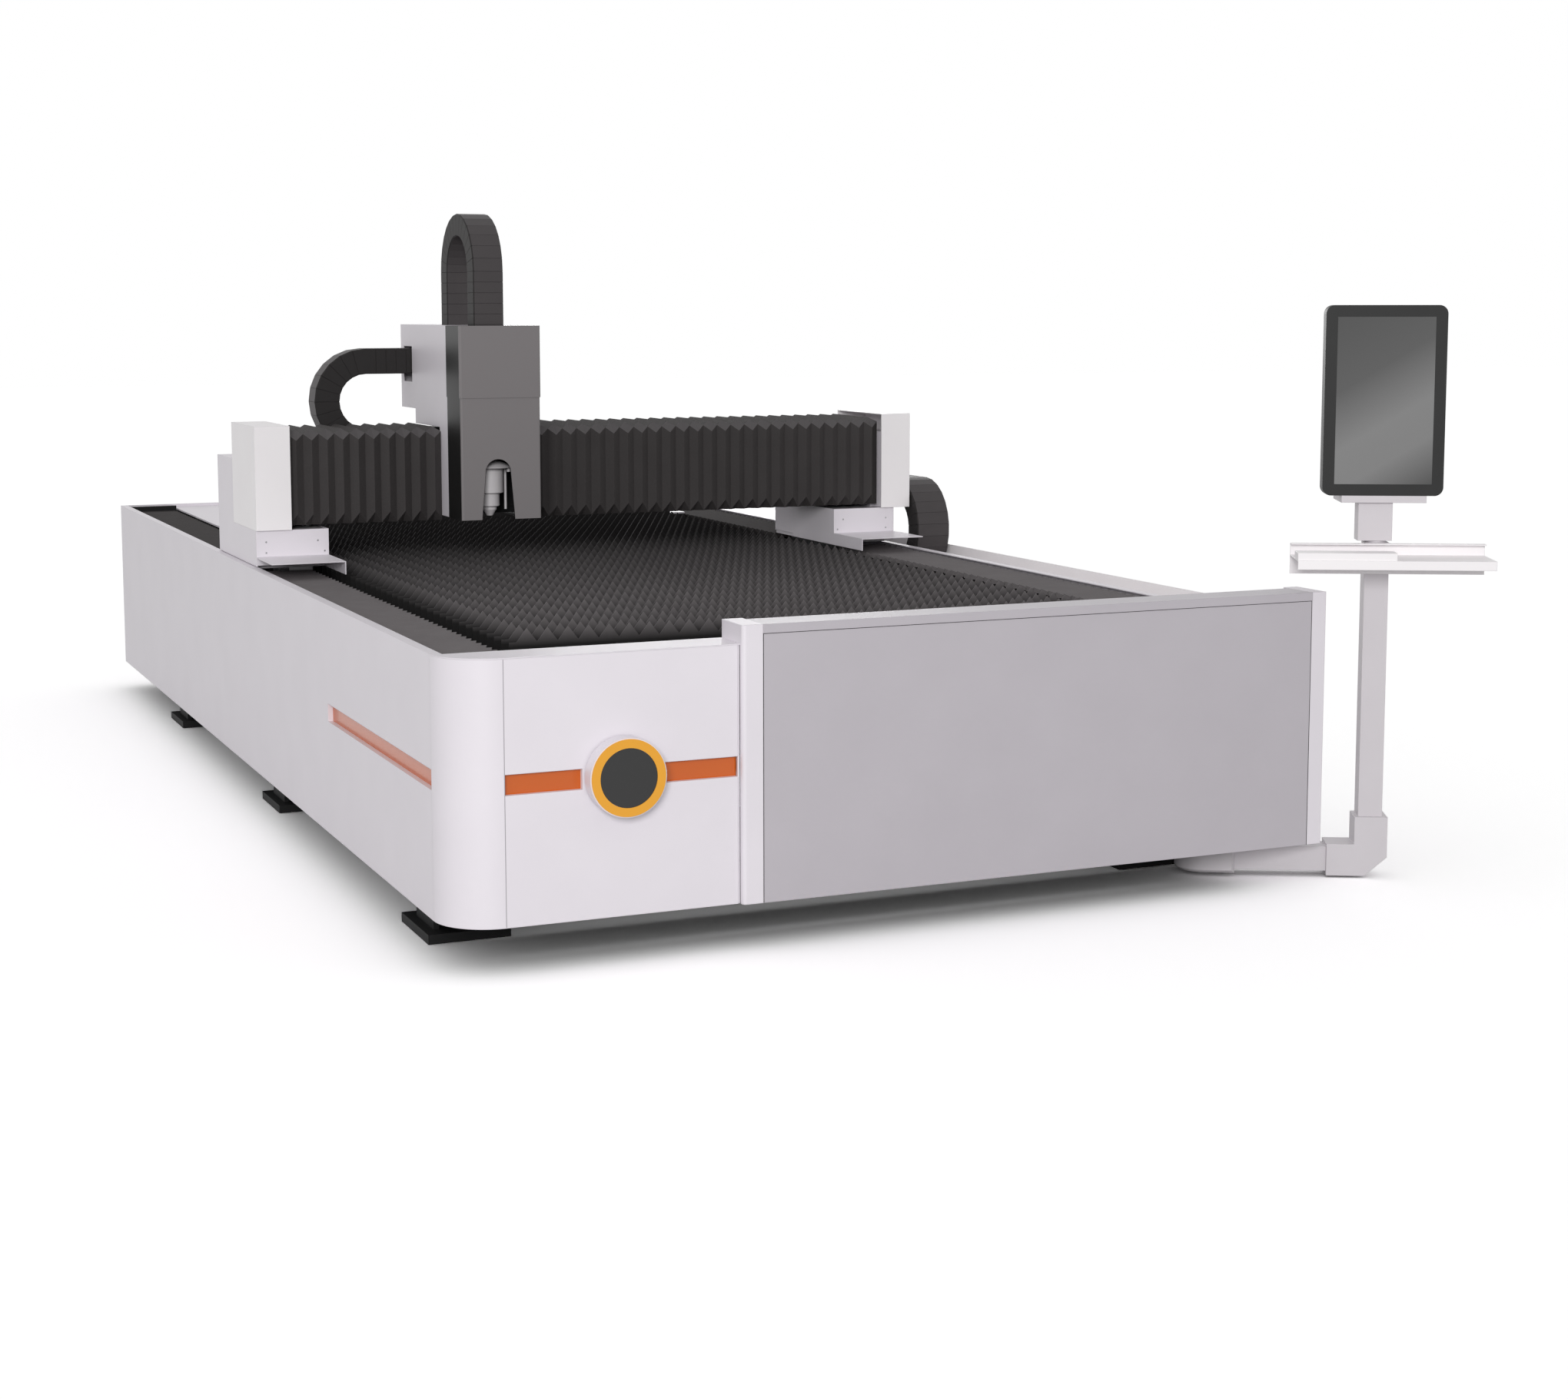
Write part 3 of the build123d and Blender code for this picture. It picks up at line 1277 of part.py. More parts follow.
# Rear cover of the head, with the notch where its cable chain comes in
with BuildPart() as head_rear_cover:
    block((head_x, head_right), (side_end, front + head_rear), bed_z(head_step, head_high))
    rear_hollow_y = (side_end, front + head_rear - sheet)
    block(inside_x, rear_hollow_y, bed_z(head_step, head_high - sheet), mode=Mode.SUBTRACT)
    block((head_x, inside_x[0]), (side_end, notch_y[1]), notch_z, mode=Mode.SUBTRACT)
head_rear_cover.part.label = "head_rear_cover"
export_step(head_rear_cover.part, "parts/head_rear_cover.step")

# Upright chain loop on top of the head: front leg to the slide, rear leg to the top plate
loop_centre = (z_chain_leg[0] + z_chain_outer, low + z_chain_axis)
with BuildPart() as z_chain_loop:
    with BuildSketch(Plane.YZ.offset(z_chain_x[0])):
        with BuildLine():
            outer = CenterArc(loop_centre, z_chain_outer, 0, 180)
            inner = CenterArc(loop_centre, z_chain_inner, 0, 180)
            Line(outer @ 0, inner @ 0)
            Line(outer @ 1, inner @ 1)
        make_face()
    extrude(amount=z_chain_width)
    block(z_chain_x, z_chain_leg, (low + slide_high, loop_centre[1]))
    rear_leg = (loop_centre[0] + z_chain_inner, loop_centre[0] + z_chain_outer)
    block(z_chain_x, rear_leg, (low + head_high, loop_centre[1]))
z_chain_loop.part.label = "z_chain_loop"
export_step(z_chain_loop.part, "parts/z_chain_loop.step")

# Operator console, in its own axes
turn = radians(console_turn)
console_origin = (bed_right + console_from_bed, front + console_y, 0)
console = Plane(console_origin, x_dir=(cos(turn), sin(turn), 0), z_dir=(0, 0, 1))

# Swivel under the bed: a flange and a fixed pin
with BuildPart(console) as console_pin:
    with BuildSketch(console.offset(low - swivel_plate)):
        with Locations((arm_pivot_s, arm_pivot_b)):
            Circle(arm_head_radius - swivel_rim)
    extrude(amount=swivel_plate)
    with BuildSketch(console.offset(low + arm_head_low + swivel_plate)):
        with Locations((arm_pivot_s, arm_pivot_b)):
            Circle(pin_radius)
    extrude(amount=-arm_head_low - 2 * swivel_plate)
console_pin.part.label = "console_pin"
export_step(console_pin.part, "parts/console_pin.step")

# Swinging arm: round head on the pin, tube, elbow and post
with BuildPart(console) as console_arm:
    head_z = bed_z(arm_head_low, arm_head_top)
    with BuildSketch(console.offset(head_z[0])):
        with Locations((arm_pivot_s, arm_pivot_b)):
            Circle(arm_head_radius)
        with Locations(((arm_pivot_s + arm_head_right) / 2, arm_pivot_b)):
            Rectangle(arm_head_right - arm_pivot_s, 2 * arm_head_radius)
    extrude(amount=head_z[1] - head_z[0])
    with BuildSketch(console.offset(head_z[0])):
        with Locations((arm_pivot_s, arm_pivot_b)):
            Circle(pin_radius + pin_seat)
    extrude(amount=head_z[1] - head_z[0], mode=Mode.SUBTRACT)
    tube_b = (arm_tube_setback, arm_tube_setback + arm_tube)
    block((arm_head_right, elbow_edge), tube_b, bed_z(arm_tube_low, arm_tube_low + arm_tube))
    elbow_face = Plane(console.origin, x_dir=console.x_dir, z_dir=-console.y_dir)
    with BuildSketch(elbow_face.offset(-elbow_depth)) as elbow_outline:
        with BuildLine():
            Polyline(
                (0, low + elbow_low),
                (elbow_foot_right, low + elbow_low),
                (elbow_right, low + elbow_chamfer_top),
                (elbow_right, low + elbow_top),
                (elbow_neck_left, low + elbow_top),
                (elbow_neck_left, low + elbow_shoulder),
                (0, low + elbow_shoulder),
                close=True,
            )
        make_face()
    extrude(amount=elbow_depth)
    forward = Axis(console.origin, elbow_face.z_dir)
    elbow_front = console_arm.faces().filter_by(elbow_face).sort_by(forward)[-1]
    chamfer(elbow_front.edges(), length=elbow_edge)
    post_b = (arm_tube_setback, arm_tube_setback + post_size)
    block((post_left, post_left + post_size), post_b, bed_z(elbow_top - post_bury, post_top))
console_arm.part.label = "console_arm"
export_step(console_arm.part, "parts/console_arm.step")

# Keyboard shelf: one folded sheet with a back rail, a flat shelf, a lip and a raised strip
with BuildPart(console) as keyboard_shelf:
    shelf_s = (tray_left, tray_left + tray_length)
    back_b = (arm_tube_setback - sheet, arm_tube_setback)
    block(shelf_s, back_b, bed_z(tray_back_low, tray_back_high))
    fold_b = (arm_tube_setback - tray_fold, arm_tube_setback)
    block(shelf_s, fold_b, bed_z(tray_back_high - sheet, tray_back_high))
    shelf_b = (arm_tube_setback - tray_reach, arm_tube_setback)
    block(shelf_s, shelf_b, bed_z(tray_surface - sheet, tray_surface))
    block(shelf_s, (shelf_b[0], shelf_b[0] + sheet), bed_z(tray_surface - tray_lip, tray_surface))
    block(
        (shelf_s[0], shelf_s[0] + riser_length),
        (shelf_b[0] + sheet, shelf_b[0] + sheet + riser_depth),
        bed_z(tray_surface, tray_surface + riser_height),
    )
    with BuildSketch(console.offset(low + tray_back_high)):
        with Locations(((shelf_s[0] + shelf_s[1]) / 2, arm_tube_setback - tray_fold / 2)):
            with GridLocations(tray_hole_pitch, 0, tray_hole_count, 1):
                Circle(tray_hole_radius)
    extrude(amount=-sheet, mode=Mode.SUBTRACT)
keyboard_shelf.part.label = "keyboard_shelf"
export_step(keyboard_shelf.part, "parts/keyboard_shelf.step")

# Monitor neck: a collar that turns on the post, an upright box and the base plate
with BuildPart(console) as monitor_neck:
    neck_b = (arm_tube_setback, arm_tube_setback + neck_depth)
    pivot_s = post_left + post_size / 2
    pivot_b = arm_tube_setback + post_size / 2
    with BuildSketch(console.offset(low + post_top)):
        with Locations((pivot_s, pivot_b)):
            Circle(collar_radius)
    extrude(amount=collar_height)
    block((neck_left, neck_left + neck_width), neck_b, bed_z(post_top + collar_height, neck_top))
    base_s = (monitor_base_left, monitor_base_left + monitor_base_width)
    block(base_s, (0, monitor_base_depth), bed_z(neck_top, neck_top + monitor_base_thickness))
monitor_neck.part.label = "monitor_neck"
export_step(monitor_neck.part, "parts/monitor_neck.step")

# Monitor: a rounded upright housing with the screen let into its face
base_top = neck_top + monitor_base_thickness
monitor_middle = (monitor_left + monitor_width / 2, low + base_top + monitor_height / 2)
with BuildPart() as monitor_housing:
    with BuildSketch(elbow_face.offset(-monitor_depth)):
        with Locations(monitor_middle):
            RectangleRounded(monitor_width, monitor_height, monitor_corner)
    extrude(amount=monitor_depth)
    with BuildSketch(elbow_face.offset(-screen_glass)):
        with Locations(monitor_middle):
            Rectangle(monitor_width - 2 * screen_inset, monitor_height - 2 * screen_inset)
    extrude(amount=screen_glass, mode=Mode.SUBTRACT)
monitor_housing.part.label = "monitor_housing"
export_step(monitor_housing.part, "parts/monitor_housing.step")

with BuildPart() as monitor_screen:
    with BuildSketch(elbow_face.offset(-screen_glass)):
        with Locations(monitor_middle):
            Rectangle(
                monitor_width - 2 * screen_inset - 2 * seat,
                monitor_height - 2 * screen_inset - 2 * seat,
            )
    extrude(amount=screen_glass)
monitor_screen.part.label = "monitor_screen"
export_step(monitor_screen.part, "parts/monitor_screen.step")
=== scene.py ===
# %% [markdown]
# # Dressing a fiber laser cutting machine
# The solids come from a CAD model and already stand in their places. This lesson gives them
# their finishes and adds what is too fine for the solids: pointed slats, pleated covers,
# cable chains, screws and the thin lines of painted shade between sheets. Everything is in metres, with Z
# up.

from math import pi

import bmesh
import bpy
import numpy as np
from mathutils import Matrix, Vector


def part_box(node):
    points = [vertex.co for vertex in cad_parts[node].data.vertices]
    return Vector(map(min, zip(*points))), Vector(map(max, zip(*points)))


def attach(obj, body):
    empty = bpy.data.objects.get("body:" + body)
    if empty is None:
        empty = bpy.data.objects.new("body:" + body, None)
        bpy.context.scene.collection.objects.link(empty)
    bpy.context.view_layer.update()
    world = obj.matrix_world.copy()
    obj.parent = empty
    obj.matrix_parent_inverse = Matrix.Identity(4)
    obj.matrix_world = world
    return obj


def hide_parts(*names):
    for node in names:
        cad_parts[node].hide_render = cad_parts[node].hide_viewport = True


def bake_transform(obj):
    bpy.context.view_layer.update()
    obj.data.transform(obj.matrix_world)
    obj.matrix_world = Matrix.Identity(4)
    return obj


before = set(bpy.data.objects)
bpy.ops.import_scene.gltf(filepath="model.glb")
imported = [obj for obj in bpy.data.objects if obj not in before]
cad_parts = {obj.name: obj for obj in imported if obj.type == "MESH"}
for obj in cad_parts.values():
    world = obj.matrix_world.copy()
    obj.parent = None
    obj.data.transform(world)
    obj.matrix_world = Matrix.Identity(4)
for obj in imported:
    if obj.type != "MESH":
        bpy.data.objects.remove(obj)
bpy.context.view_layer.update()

# %% [markdown]
# ## Colours and nodes
# A colour is written as a screen value, because that is what a colour chart gives, and one
# function turns it into the linear light that the renderer works with. Another adds a shader
# node, sets it up and links it, so that a material reads like a recipe.


# %% Helpers for colours and nodes
def linear(code):
    """Linear RGBA of an sRGB hex value: c / 12.92 below 0.04045, else ((c + 0.055) / 1.055) ^ 2.4."""
    channel = np.array([int(code[i : i + 2], 16) for i in (1, 3, 5)]) / 255
    light = np.where(channel <= 0.04045, channel / 12.92, ((channel + 0.055) / 1.055) ** 2.4)
    return (*light.tolist(), 1.0)


def add_node(tree, kind, inputs=(), **settings):
    """Adds a node, sets its settings, and gives each input a value or a link."""
    node = tree.nodes.new(kind)
    for name, value in settings.items():
        setattr(node, name, value)
    for name, value in dict(inputs).items():
        if isinstance(value, bpy.types.NodeSocket):
            tree.links.new(value, node.inputs[name])
        else:
            node.inputs[name].default_value = value
    return node


def new_material(name):
    """An empty node material with its output node."""
    made = bpy.data.materials.new(name)
    made.use_nodes = True
    made.node_tree.nodes.clear()
    return made, made.node_tree


MM = 0.001


def finish(name, tones, patch, grain, depth, roughness, edge=0.0, **surface):
    """A finish of two close tones in soft patches, with a fine grain that lifts the surface.

    patch and grain are sizes in millimetres and depth is the grain's height in millimetres; a noise
    of scale 1 / size repeats about once in that size. edge is the radius in millimetres that paint
    gives to a folded edge: there the normal turns smoothly, so the edge catches a line of light.
    """
    made, tree = new_material(name)
    place = add_node(tree, "ShaderNodeTexCoord").outputs["Object"]
    cloud_scale = 1 / (patch * MM)
    clouds = add_node(tree, "ShaderNodeTexNoise", {"Vector": place, "Scale": cloud_scale, "Detail": 3.0})
    colour = add_node(
        tree,
        "ShaderNodeMix",
        {0: clouds.outputs["Fac"], 6: linear(tones[0]), 7: linear(tones[1])},
        data_type="RGBA",
    )
    fine = add_node(tree, "ShaderNodeTexNoise", {"Vector": place, "Scale": 1 / (grain * MM), "Detail": 2.0})
    bump = add_node(tree, "ShaderNodeBump", {"Height": fine.outputs["Fac"], "Distance": depth * MM})
    if edge:
        rounded = add_node(tree, "ShaderNodeBevel", {"Radius": edge * MM}, samples=4)
        tree.links.new(rounded.outputs[0], bump.inputs["Normal"])
    shader = add_node(
        tree,
        "ShaderNodeBsdfPrincipled",
        {"Base Color": colour.outputs[2], "Roughness": roughness, "Normal": bump.outputs[0], **surface},
    )
    add_node(tree, "ShaderNodeOutputMaterial", {"Surface": shader.outputs[0]})
    return made


# %% [markdown]
# ## The finishes
# Powder coat is a baked plastic skin: slightly uneven like orange peel, half matt, with a
# weak highlight. Its real dimples are about a millimetre wide, too fine to show from five
# metres, so the grain here is drawn a few millimetres wide. A folded sheet's edge is round
# under the coat, so it catches a thin line of light.

# %% Powder coats and enamels
WHITE = finish("powder_coat_off_white", ("#E9E4EA", "#E2DDE3"), 180, 5, 0.10, 0.42, edge=2.5)
BRIGHT = finish("powder_coat_whiter_and_painted_light", ("#FAF7F8", "#F4F0F2"), 180, 5, 0.08, 0.40, edge=2.5)
GREY = finish("powder_coat_warm_grey", ("#BFBAC0", "#B8B3B9"), 160, 4, 0.14, 0.40, edge=2.0)
CONSOLE = finish("powder_coat_light_grey", ("#D3CED2", "#CCC7CB"), 120, 5, 0.08, 0.42, edge=2.0)
MATT = {"Specular IOR Level": 0.18}    # a matt skin mirrors little of the white studio
BLACK = finish("enamel_matt_black", ("#141414", "#1B1B1C"), 60, 4, 0.10, 0.60, **MATT)
PRIMER = finish("zinc_primer_dark", ("#161616", "#1F1F20"), 90, 5, 0.12, 0.70, **MATT)

# %% [markdown]
# ## Metals and plastics
# Rails and shafts are ground bright. The covers are coated polyester cloth, with paler copies
# painted light on the upper diamonds of the folds and on the front rail covers. The chains are
# glass-filled nylon, with a paler copy painted light on the faces across the band and the darker
# tone on the side plates. The cutting head is anodised and bead blasted, so it looks almost white.
# Where sheets meet, thin grey and charcoal strips are painted shade, standing for the shadow in the seam.

# %% Metals and plastics
STEEL = finish("ground_steel", ("#A9A9AB", "#B8B8BA"), 40, 3, 0.03, 0.28, Metallic=1.0)
ANODISED = finish("anodised_aluminium_bead_blasted", ("#DAD6D8", "#D0CCCE"), 30, 2, 0.04, 0.50)
NYLON = finish("glass_filled_nylon_black", ("#2B2929", "#262424"), 70, 4, 0.12, 0.55, **MATT)
# a paler copy of the nylon, painted light on the faces across the band
NYLON_LIT_COPY = finish("glass_filled_nylon_painted_light", ("#4A4647", "#434041"), 70, 4, 0.12, 0.50, **MATT)
# a paler copy of the cloth, painted light on the diamonds that face forward and up
DIAMOND_CLOTH_LIT = finish("polyester_cloth_diamonds_painted_light", ("#575455", "#4F4C4D"), 60, 5, 0.2, 0.60, **MATT)
CLOTH = finish("coated_polyester_cloth", ("#403D3D", "#393636"), 90, 7, 0.6, 0.70, **MATT)
# a paler copy of the cloth, painted light, for the rail covers near the front
FRONT_COVER_CLOTH_LIT = finish("coated_polyester_cloth_front_painted_light", ("#6E6A6B", "#625E5F"), 60, 7, 0.6, 0.70, **MATT)
ABS = finish("moulded_abs_charcoal", ("#2D2D2D", "#292929"), 50, 3, 0.05, 0.45, **MATT)
ORANGE = finish("acrylic_orange", ("#CB6018", "#C55B16"), 120, 6, 0.02, 0.20)
# thin strips of painted shade where sheets meet: grey at the corner seam, charcoal round the grey sheet
SEAM_SHADE_GREY = finish("painted_seam_shade_grey", ("#A9A5AA", "#A29EA3"), 60, 4, 0.05, 0.8)
GAP_SHADE_CHARCOAL = finish("painted_gap_shade_charcoal", ("#3A383A", "#2E2C2E"), 60, 4, 0.05, 0.8)

# %% [markdown]
# ## Slat steel
# The slats are hot-rolled strip with blue-grey scale and streaks across the rolling
# direction. Their colour is painted darker from the tips down to the valleys and feet, as painted
# shade for the shade that falls between the blades. It is painted darker again toward the rear,
# as painted shade for the shadow under and behind the gantry.


# %% Slat steel
TIP_SHADE_DEPTHS = (0.044, 0.001)      # the painted shade between the blades fades out between these depths below the tips
REAR_SHADE_FROM = 0.5                # Y where the painted shade toward the rear starts
REAR_SHADE_TO = 2.2                  # Y where that painted shade is darkest
REAR_SHADE_SHARE = 0.85
STREAK_SCALE = (40.0, 3.0, 12.0)    # streaks per metre: 25 mm wide along X and 80 mm tall


def slat_steel():
    """Tips pale, valleys and feet dark in painted shade: one mix goes with height, and a second one, with
    Y, adds painted shade toward the rear.
    """
    made, tree = new_material("hot_rolled_slat_steel")
    place = add_node(tree, "ShaderNodeTexCoord").outputs["Object"]
    split = add_node(tree, "ShaderNodeSeparateXYZ", {"Vector": place})
    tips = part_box("slat_blades")[1].z
    # painted shade: the blade darkens from its tips down to its valleys and feet
    rise = add_node(
        tree,
        "ShaderNodeMapRange",
        {"Value": split.outputs["Z"], "From Min": tips - TIP_SHADE_DEPTHS[0], "From Max": tips - TIP_SHADE_DEPTHS[1]},
    )
    # painted shade: darker toward the rear, for the shadow under and behind the gantry
    rear_shade = add_node(
        tree,
        "ShaderNodeMapRange",
        {"Value": split.outputs["Y"], "From Min": REAR_SHADE_FROM, "From Max": REAR_SHADE_TO, "To Max": REAR_SHADE_SHARE},
    )
    stretch = add_node(tree, "ShaderNodeMapping", {"Vector": place, "Scale": STREAK_SCALE})
    streaks = add_node(
        tree, "ShaderNodeTexNoise", {"Vector": stretch.outputs[0], "Scale": 1.0, "Detail": 4.0}
    )
    scale = add_node(
        tree,
        "ShaderNodeMix",
        {0: streaks.outputs["Fac"], 6: linear("#625E5F"), 7: linear("#716D6E")},
        data_type="RGBA",
    )
    # near-black painted shade at the feet, the pale streaked scale at the tips
    colour = add_node(
        tree,
        "ShaderNodeMix",
        {0: rise.outputs[0], 6: linear("#161515"), 7: scale.outputs[2]},
        data_type="RGBA",
    )
    # mixes in the near-black painted shade toward the rear
    rear_shaded = add_node(
        tree,
        "ShaderNodeMix",
        {0: rear_shade.outputs[0], 6: colour.outputs[2], 7: linear("#141313")},
        data_type="RGBA",
    )
    bump = add_node(tree, "ShaderNodeBump", {"Height": streaks.outputs["Fac"], "Distance": 0.1 * MM})
    shader = add_node(
        tree,
        "ShaderNodeBsdfPrincipled",
        {"Base Color": rear_shaded.outputs[2], "Roughness": 0.62, "Normal": bump.outputs[0], **MATT},
    )
    add_node(tree, "ShaderNodeOutputMaterial", {"Surface": shader.outputs[0]})
    return made


SLAT_STEEL = slat_steel()

# %% [markdown]
# ## Two tones on one cover
# The head's front cover is grey in front and black at its sides. The paint changes at the
# fold, so the material asks how far behind the front face a point lies.


# %% Two-tone paint, emblem and screen
def two_tone(name, front_hex, side_hex, edge_y, roughness):
    """Front colour where y is below edge_y, side colour behind it."""
    made = finish(name, (front_hex, front_hex), 120, 4, 0.08, roughness, **MATT)
    tree = made.node_tree
    shader = next(n for n in tree.nodes if n.type == "BSDF_PRINCIPLED")
    place = add_node(tree, "ShaderNodeTexCoord").outputs["Object"]
    depth = add_node(tree, "ShaderNodeSeparateXYZ", {"Vector": place}).outputs["Y"]
    behind = add_node(tree, "ShaderNodeMath", {0: depth, 1: edge_y}, operation="GREATER_THAN")
    colour = add_node(
        tree,
        "ShaderNodeMix",
        {0: behind.outputs[0], 6: linear(front_hex), 7: linear(side_hex)},
        data_type="RGBA",
    )
    tree.links.new(colour.outputs[2], shader.inputs["Base Color"])
    return made


FOLD_RADIUS = 0.009            # the front colour runs round the fold by this much
head_fold_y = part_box("upper_head_cover")[0].y + FOLD_RADIUS
HEAD_PAINT = two_tone("satin_enamel_grey_and_black", "#827E7F", "#171717", head_fold_y, 0.36)
DISC_RADIUS = 0.0679


def emblem_enamel():
    """Charcoal inside the disc's radius, amber outside: the mix is a step on the distance from its axis."""
    made = finish("baked_enamel_amber", ("#EBA93F", "#E8A539"), 60, 3, 0.03, 0.40, **MATT)
    tree = made.node_tree
    shader = next(n for n in tree.nodes if n.type == "BSDF_PRINCIPLED")
    low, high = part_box("emblem_face")
    centre = (low + high) / 2
    place = add_node(tree, "ShaderNodeTexCoord").outputs["Object"]
    flat = add_node(tree, "ShaderNodeVectorMath", {0: place, 1: (1.0, 0.0, 1.0)}, operation="MULTIPLY")
    away = add_node(
        tree,
        "ShaderNodeVectorMath",
        {0: flat.outputs[0], 1: (centre.x, 0.0, centre.z)},
        operation="DISTANCE",
    )
    outside = add_node(
        tree, "ShaderNodeMath", {0: away.outputs["Value"], 1: DISC_RADIUS}, operation="GREATER_THAN"
    )
    colour = add_node(
        tree,
        "ShaderNodeMix",
        {0: outside.outputs[0], 6: linear("#3B3B3B"), 7: linear("#EAA73D")},
        data_type="RGBA",
    )
    tree.links.new(colour.outputs[2], shader.inputs["Base Color"])
    return made


EMBLEM = emblem_enamel()
REFLECTION_SLANT = 0.35              # climb of the painted reflection's pale band across the screen, as a share of its height


def screen_glass():
    """A grey screen, paler along a slanting band of painted reflection: a ramp on slant times x plus the
    depth below the top.
    """
    made, tree = new_material("screen_glass_painted_reflection")
    low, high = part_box("monitor_screen")
    place = add_node(tree, "ShaderNodeTexCoord").outputs["Object"]
    split = add_node(tree, "ShaderNodeSeparateXYZ", {"Vector": place})
    across = add_node(
        tree,
        "ShaderNodeMapRange",
        {"Value": split.outputs["X"], "From Min": low.x, "From Max": high.x, "To Max": REFLECTION_SLANT},
    )
    down = add_node(
        tree,
        "ShaderNodeMapRange",
        {"Value": split.outputs["Z"], "From Min": high.z, "From Max": low.z},
    )
    slant = add_node(tree, "ShaderNodeMath", {0: across.outputs[0], 1: down.outputs[0]}, operation="ADD")
    share_down = add_node(
        tree, "ShaderNodeMath", {0: slant.outputs[0], 1: 1 + REFLECTION_SLANT}, operation="DIVIDE"
    )
    ramp = add_node(tree, "ShaderNodeValToRGB", {"Fac": share_down.outputs[0]})
    stops = ((0.0, "#525252"), (0.34, "#5E5E5E"), (0.60, "#848484"), (0.78, "#828282"), (1.0, "#525252"))
    elements = ramp.color_ramp.elements
    for number, (share, code) in enumerate(stops):
        stop = elements[number] if number < 2 else elements.new(share)
        stop.position = share
        stop.color = linear(code)
    shader = add_node(
        tree,
        "ShaderNodeBsdfPrincipled",
        {"Base Color": ramp.outputs[0], "Roughness": 0.30, "Specular IOR Level": 0.15},
    )
    add_node(tree, "ShaderNodeOutputMaterial", {"Surface": shader.outputs[0]})
    return made


SCREEN = screen_glass()

# %% [markdown]
# ## Every solid gets a finish
# The table goes by what a part is made of, so that one line can be changed for all white sheets
# at once. A solid's mesh is never touched, only its material.

# %% Give every solid its finish
FINISHES = {
    "support_feet carriage_plate head_slide z_rails y_motors head_motors": BLACK,
    "bed_frame": PRIMER,
    "bed_rails beam_rails lift_screw y_pinion_left y_pinion_right x_pinion": STEEL,
    "y_bearing_blocks x_bearing_blocks": STEEL,
    "left_side_panel corner_panel front_left_panel front_ledge front_posts right_side_panel": WHITE,
    "rear_panel rear_decks trough_cover emblem_barrel": WHITE,
    "saddles saddle_covers motor_covers gantry_beam x_chain_tray y_chain_arm": WHITE,
    "head_sides head_rear_cover": WHITE,
    "console_pin console_arm monitor_neck": CONSOLE,
    # the chain trough takes the whiter coat as painted light, so that its inner wall in shade reads pale
    "end_caps keyboard_shelf chain_trough": BRIGHT,
    "front_grey_panel": GREY,
    "stripe_strips": ORANGE,
    "emblem_face": EMBLEM,
    "slat_blades": SLAT_STEEL,
    "rail_covers_front": FRONT_COVER_CLOTH_LIT,
    "rail_covers_rear": CLOTH,
    "beam_bellows_left beam_bellows_right": CLOTH,
    "y_chain_lower_run y_chain_bend y_chain_upper_run z_chain_loop": NYLON,
    "x_chain_lower_run x_chain_bend x_chain_upper_run": NYLON,
    "lower_head_cover upper_head_cover": HEAD_PAINT,
    "cutting_head nozzle": ANODISED,
    "monitor_housing": ABS,
    "monitor_screen": SCREEN,
}
for names, material in FINISHES.items():
    for node_name in names.split():
        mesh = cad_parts[node_name].data
        mesh.materials.clear()
        mesh.materials.append(material)
dressed = sum(len(names.split()) for names in FINISHES)
print("solids with a finish:", dressed, "of", len(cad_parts))

# %% [markdown]
# ## One way to make a shape
# Most pieces here are a closed outline carried along a path: a slat is a strip whose top edge
# goes up and down, a pleated cover is a section that swells and shrinks. So one function takes
# rings of points, joins each ring to the next with quads, and closes the ends.


# %% A closed outline carried along a path
def carried(name, rings, material, second=None, facing=None):
    """Mesh from rings shaped (..., stations, points, 3): quad (i, j) joins ring i to ring i + 1 between
    points j and j + 1, and one polygon closes each end. Leading axes are separate copies. Faces whose
    normals pass the test facing get the second material."""
    rings = np.asarray(rings, float)
    stations, around = rings.shape[-3:-1]
    points = rings.reshape(-1, 3)
    i, j = np.meshgrid(np.arange(stations - 1), np.arange(around), indexing="ij")
    k = (j + 1) % around
    quads = np.stack([i * around + j, i * around + k, (i + 1) * around + k, (i + 1) * around + j], -1)
    ends = np.stack([np.arange(around)[::-1], np.arange(around) + (stations - 1) * around])
    shift = np.arange(len(points) // (stations * around)) * stations * around
    quads = (quads.reshape(1, -1, 4) + shift[:, None, None]).reshape(-1, 4)
    ends = (ends[None] + shift[:, None, None]).reshape(-1, around)
    mesh = bpy.data.meshes.new(name)
    mesh.from_pydata(points.tolist(), [], quads.tolist() + ends.tolist())
    clean = bmesh.new()
    clean.from_mesh(mesh)
    bmesh.ops.remove_doubles(clean, verts=clean.verts, dist=1e-6)
    bmesh.ops.dissolve_degenerate(clean, edges=clean.edges, dist=1e-7)
    bmesh.ops.recalc_face_normals(clean, faces=clean.faces)
    clean.to_mesh(mesh)
    clean.free()
    mesh.materials.append(material)
    if second:
        normals = np.empty(3 * len(mesh.polygons), np.float32)
        mesh.polygons.foreach_get("normal", normals)
        mesh.materials.append(second)
        mesh.polygons.foreach_set("material_index", facing(normals.reshape(-1, 3)).astype(np.int32))
    made = bpy.data.objects.new(name, mesh)
    bpy.context.scene.collection.objects.link(made)
    print(name, len(mesh.polygons), "faces")
    return made


# %% [markdown]
# ## Small flat pieces
# Some details are plain strips: the bars at the ends of the rail covers, the steel strip that
# closes the slat bed at its rear, the skirt under the carriage, and the thin lines of painted
# shade between sheets. Each is a box with cut corners, so one function makes any number of them in one
# mesh.


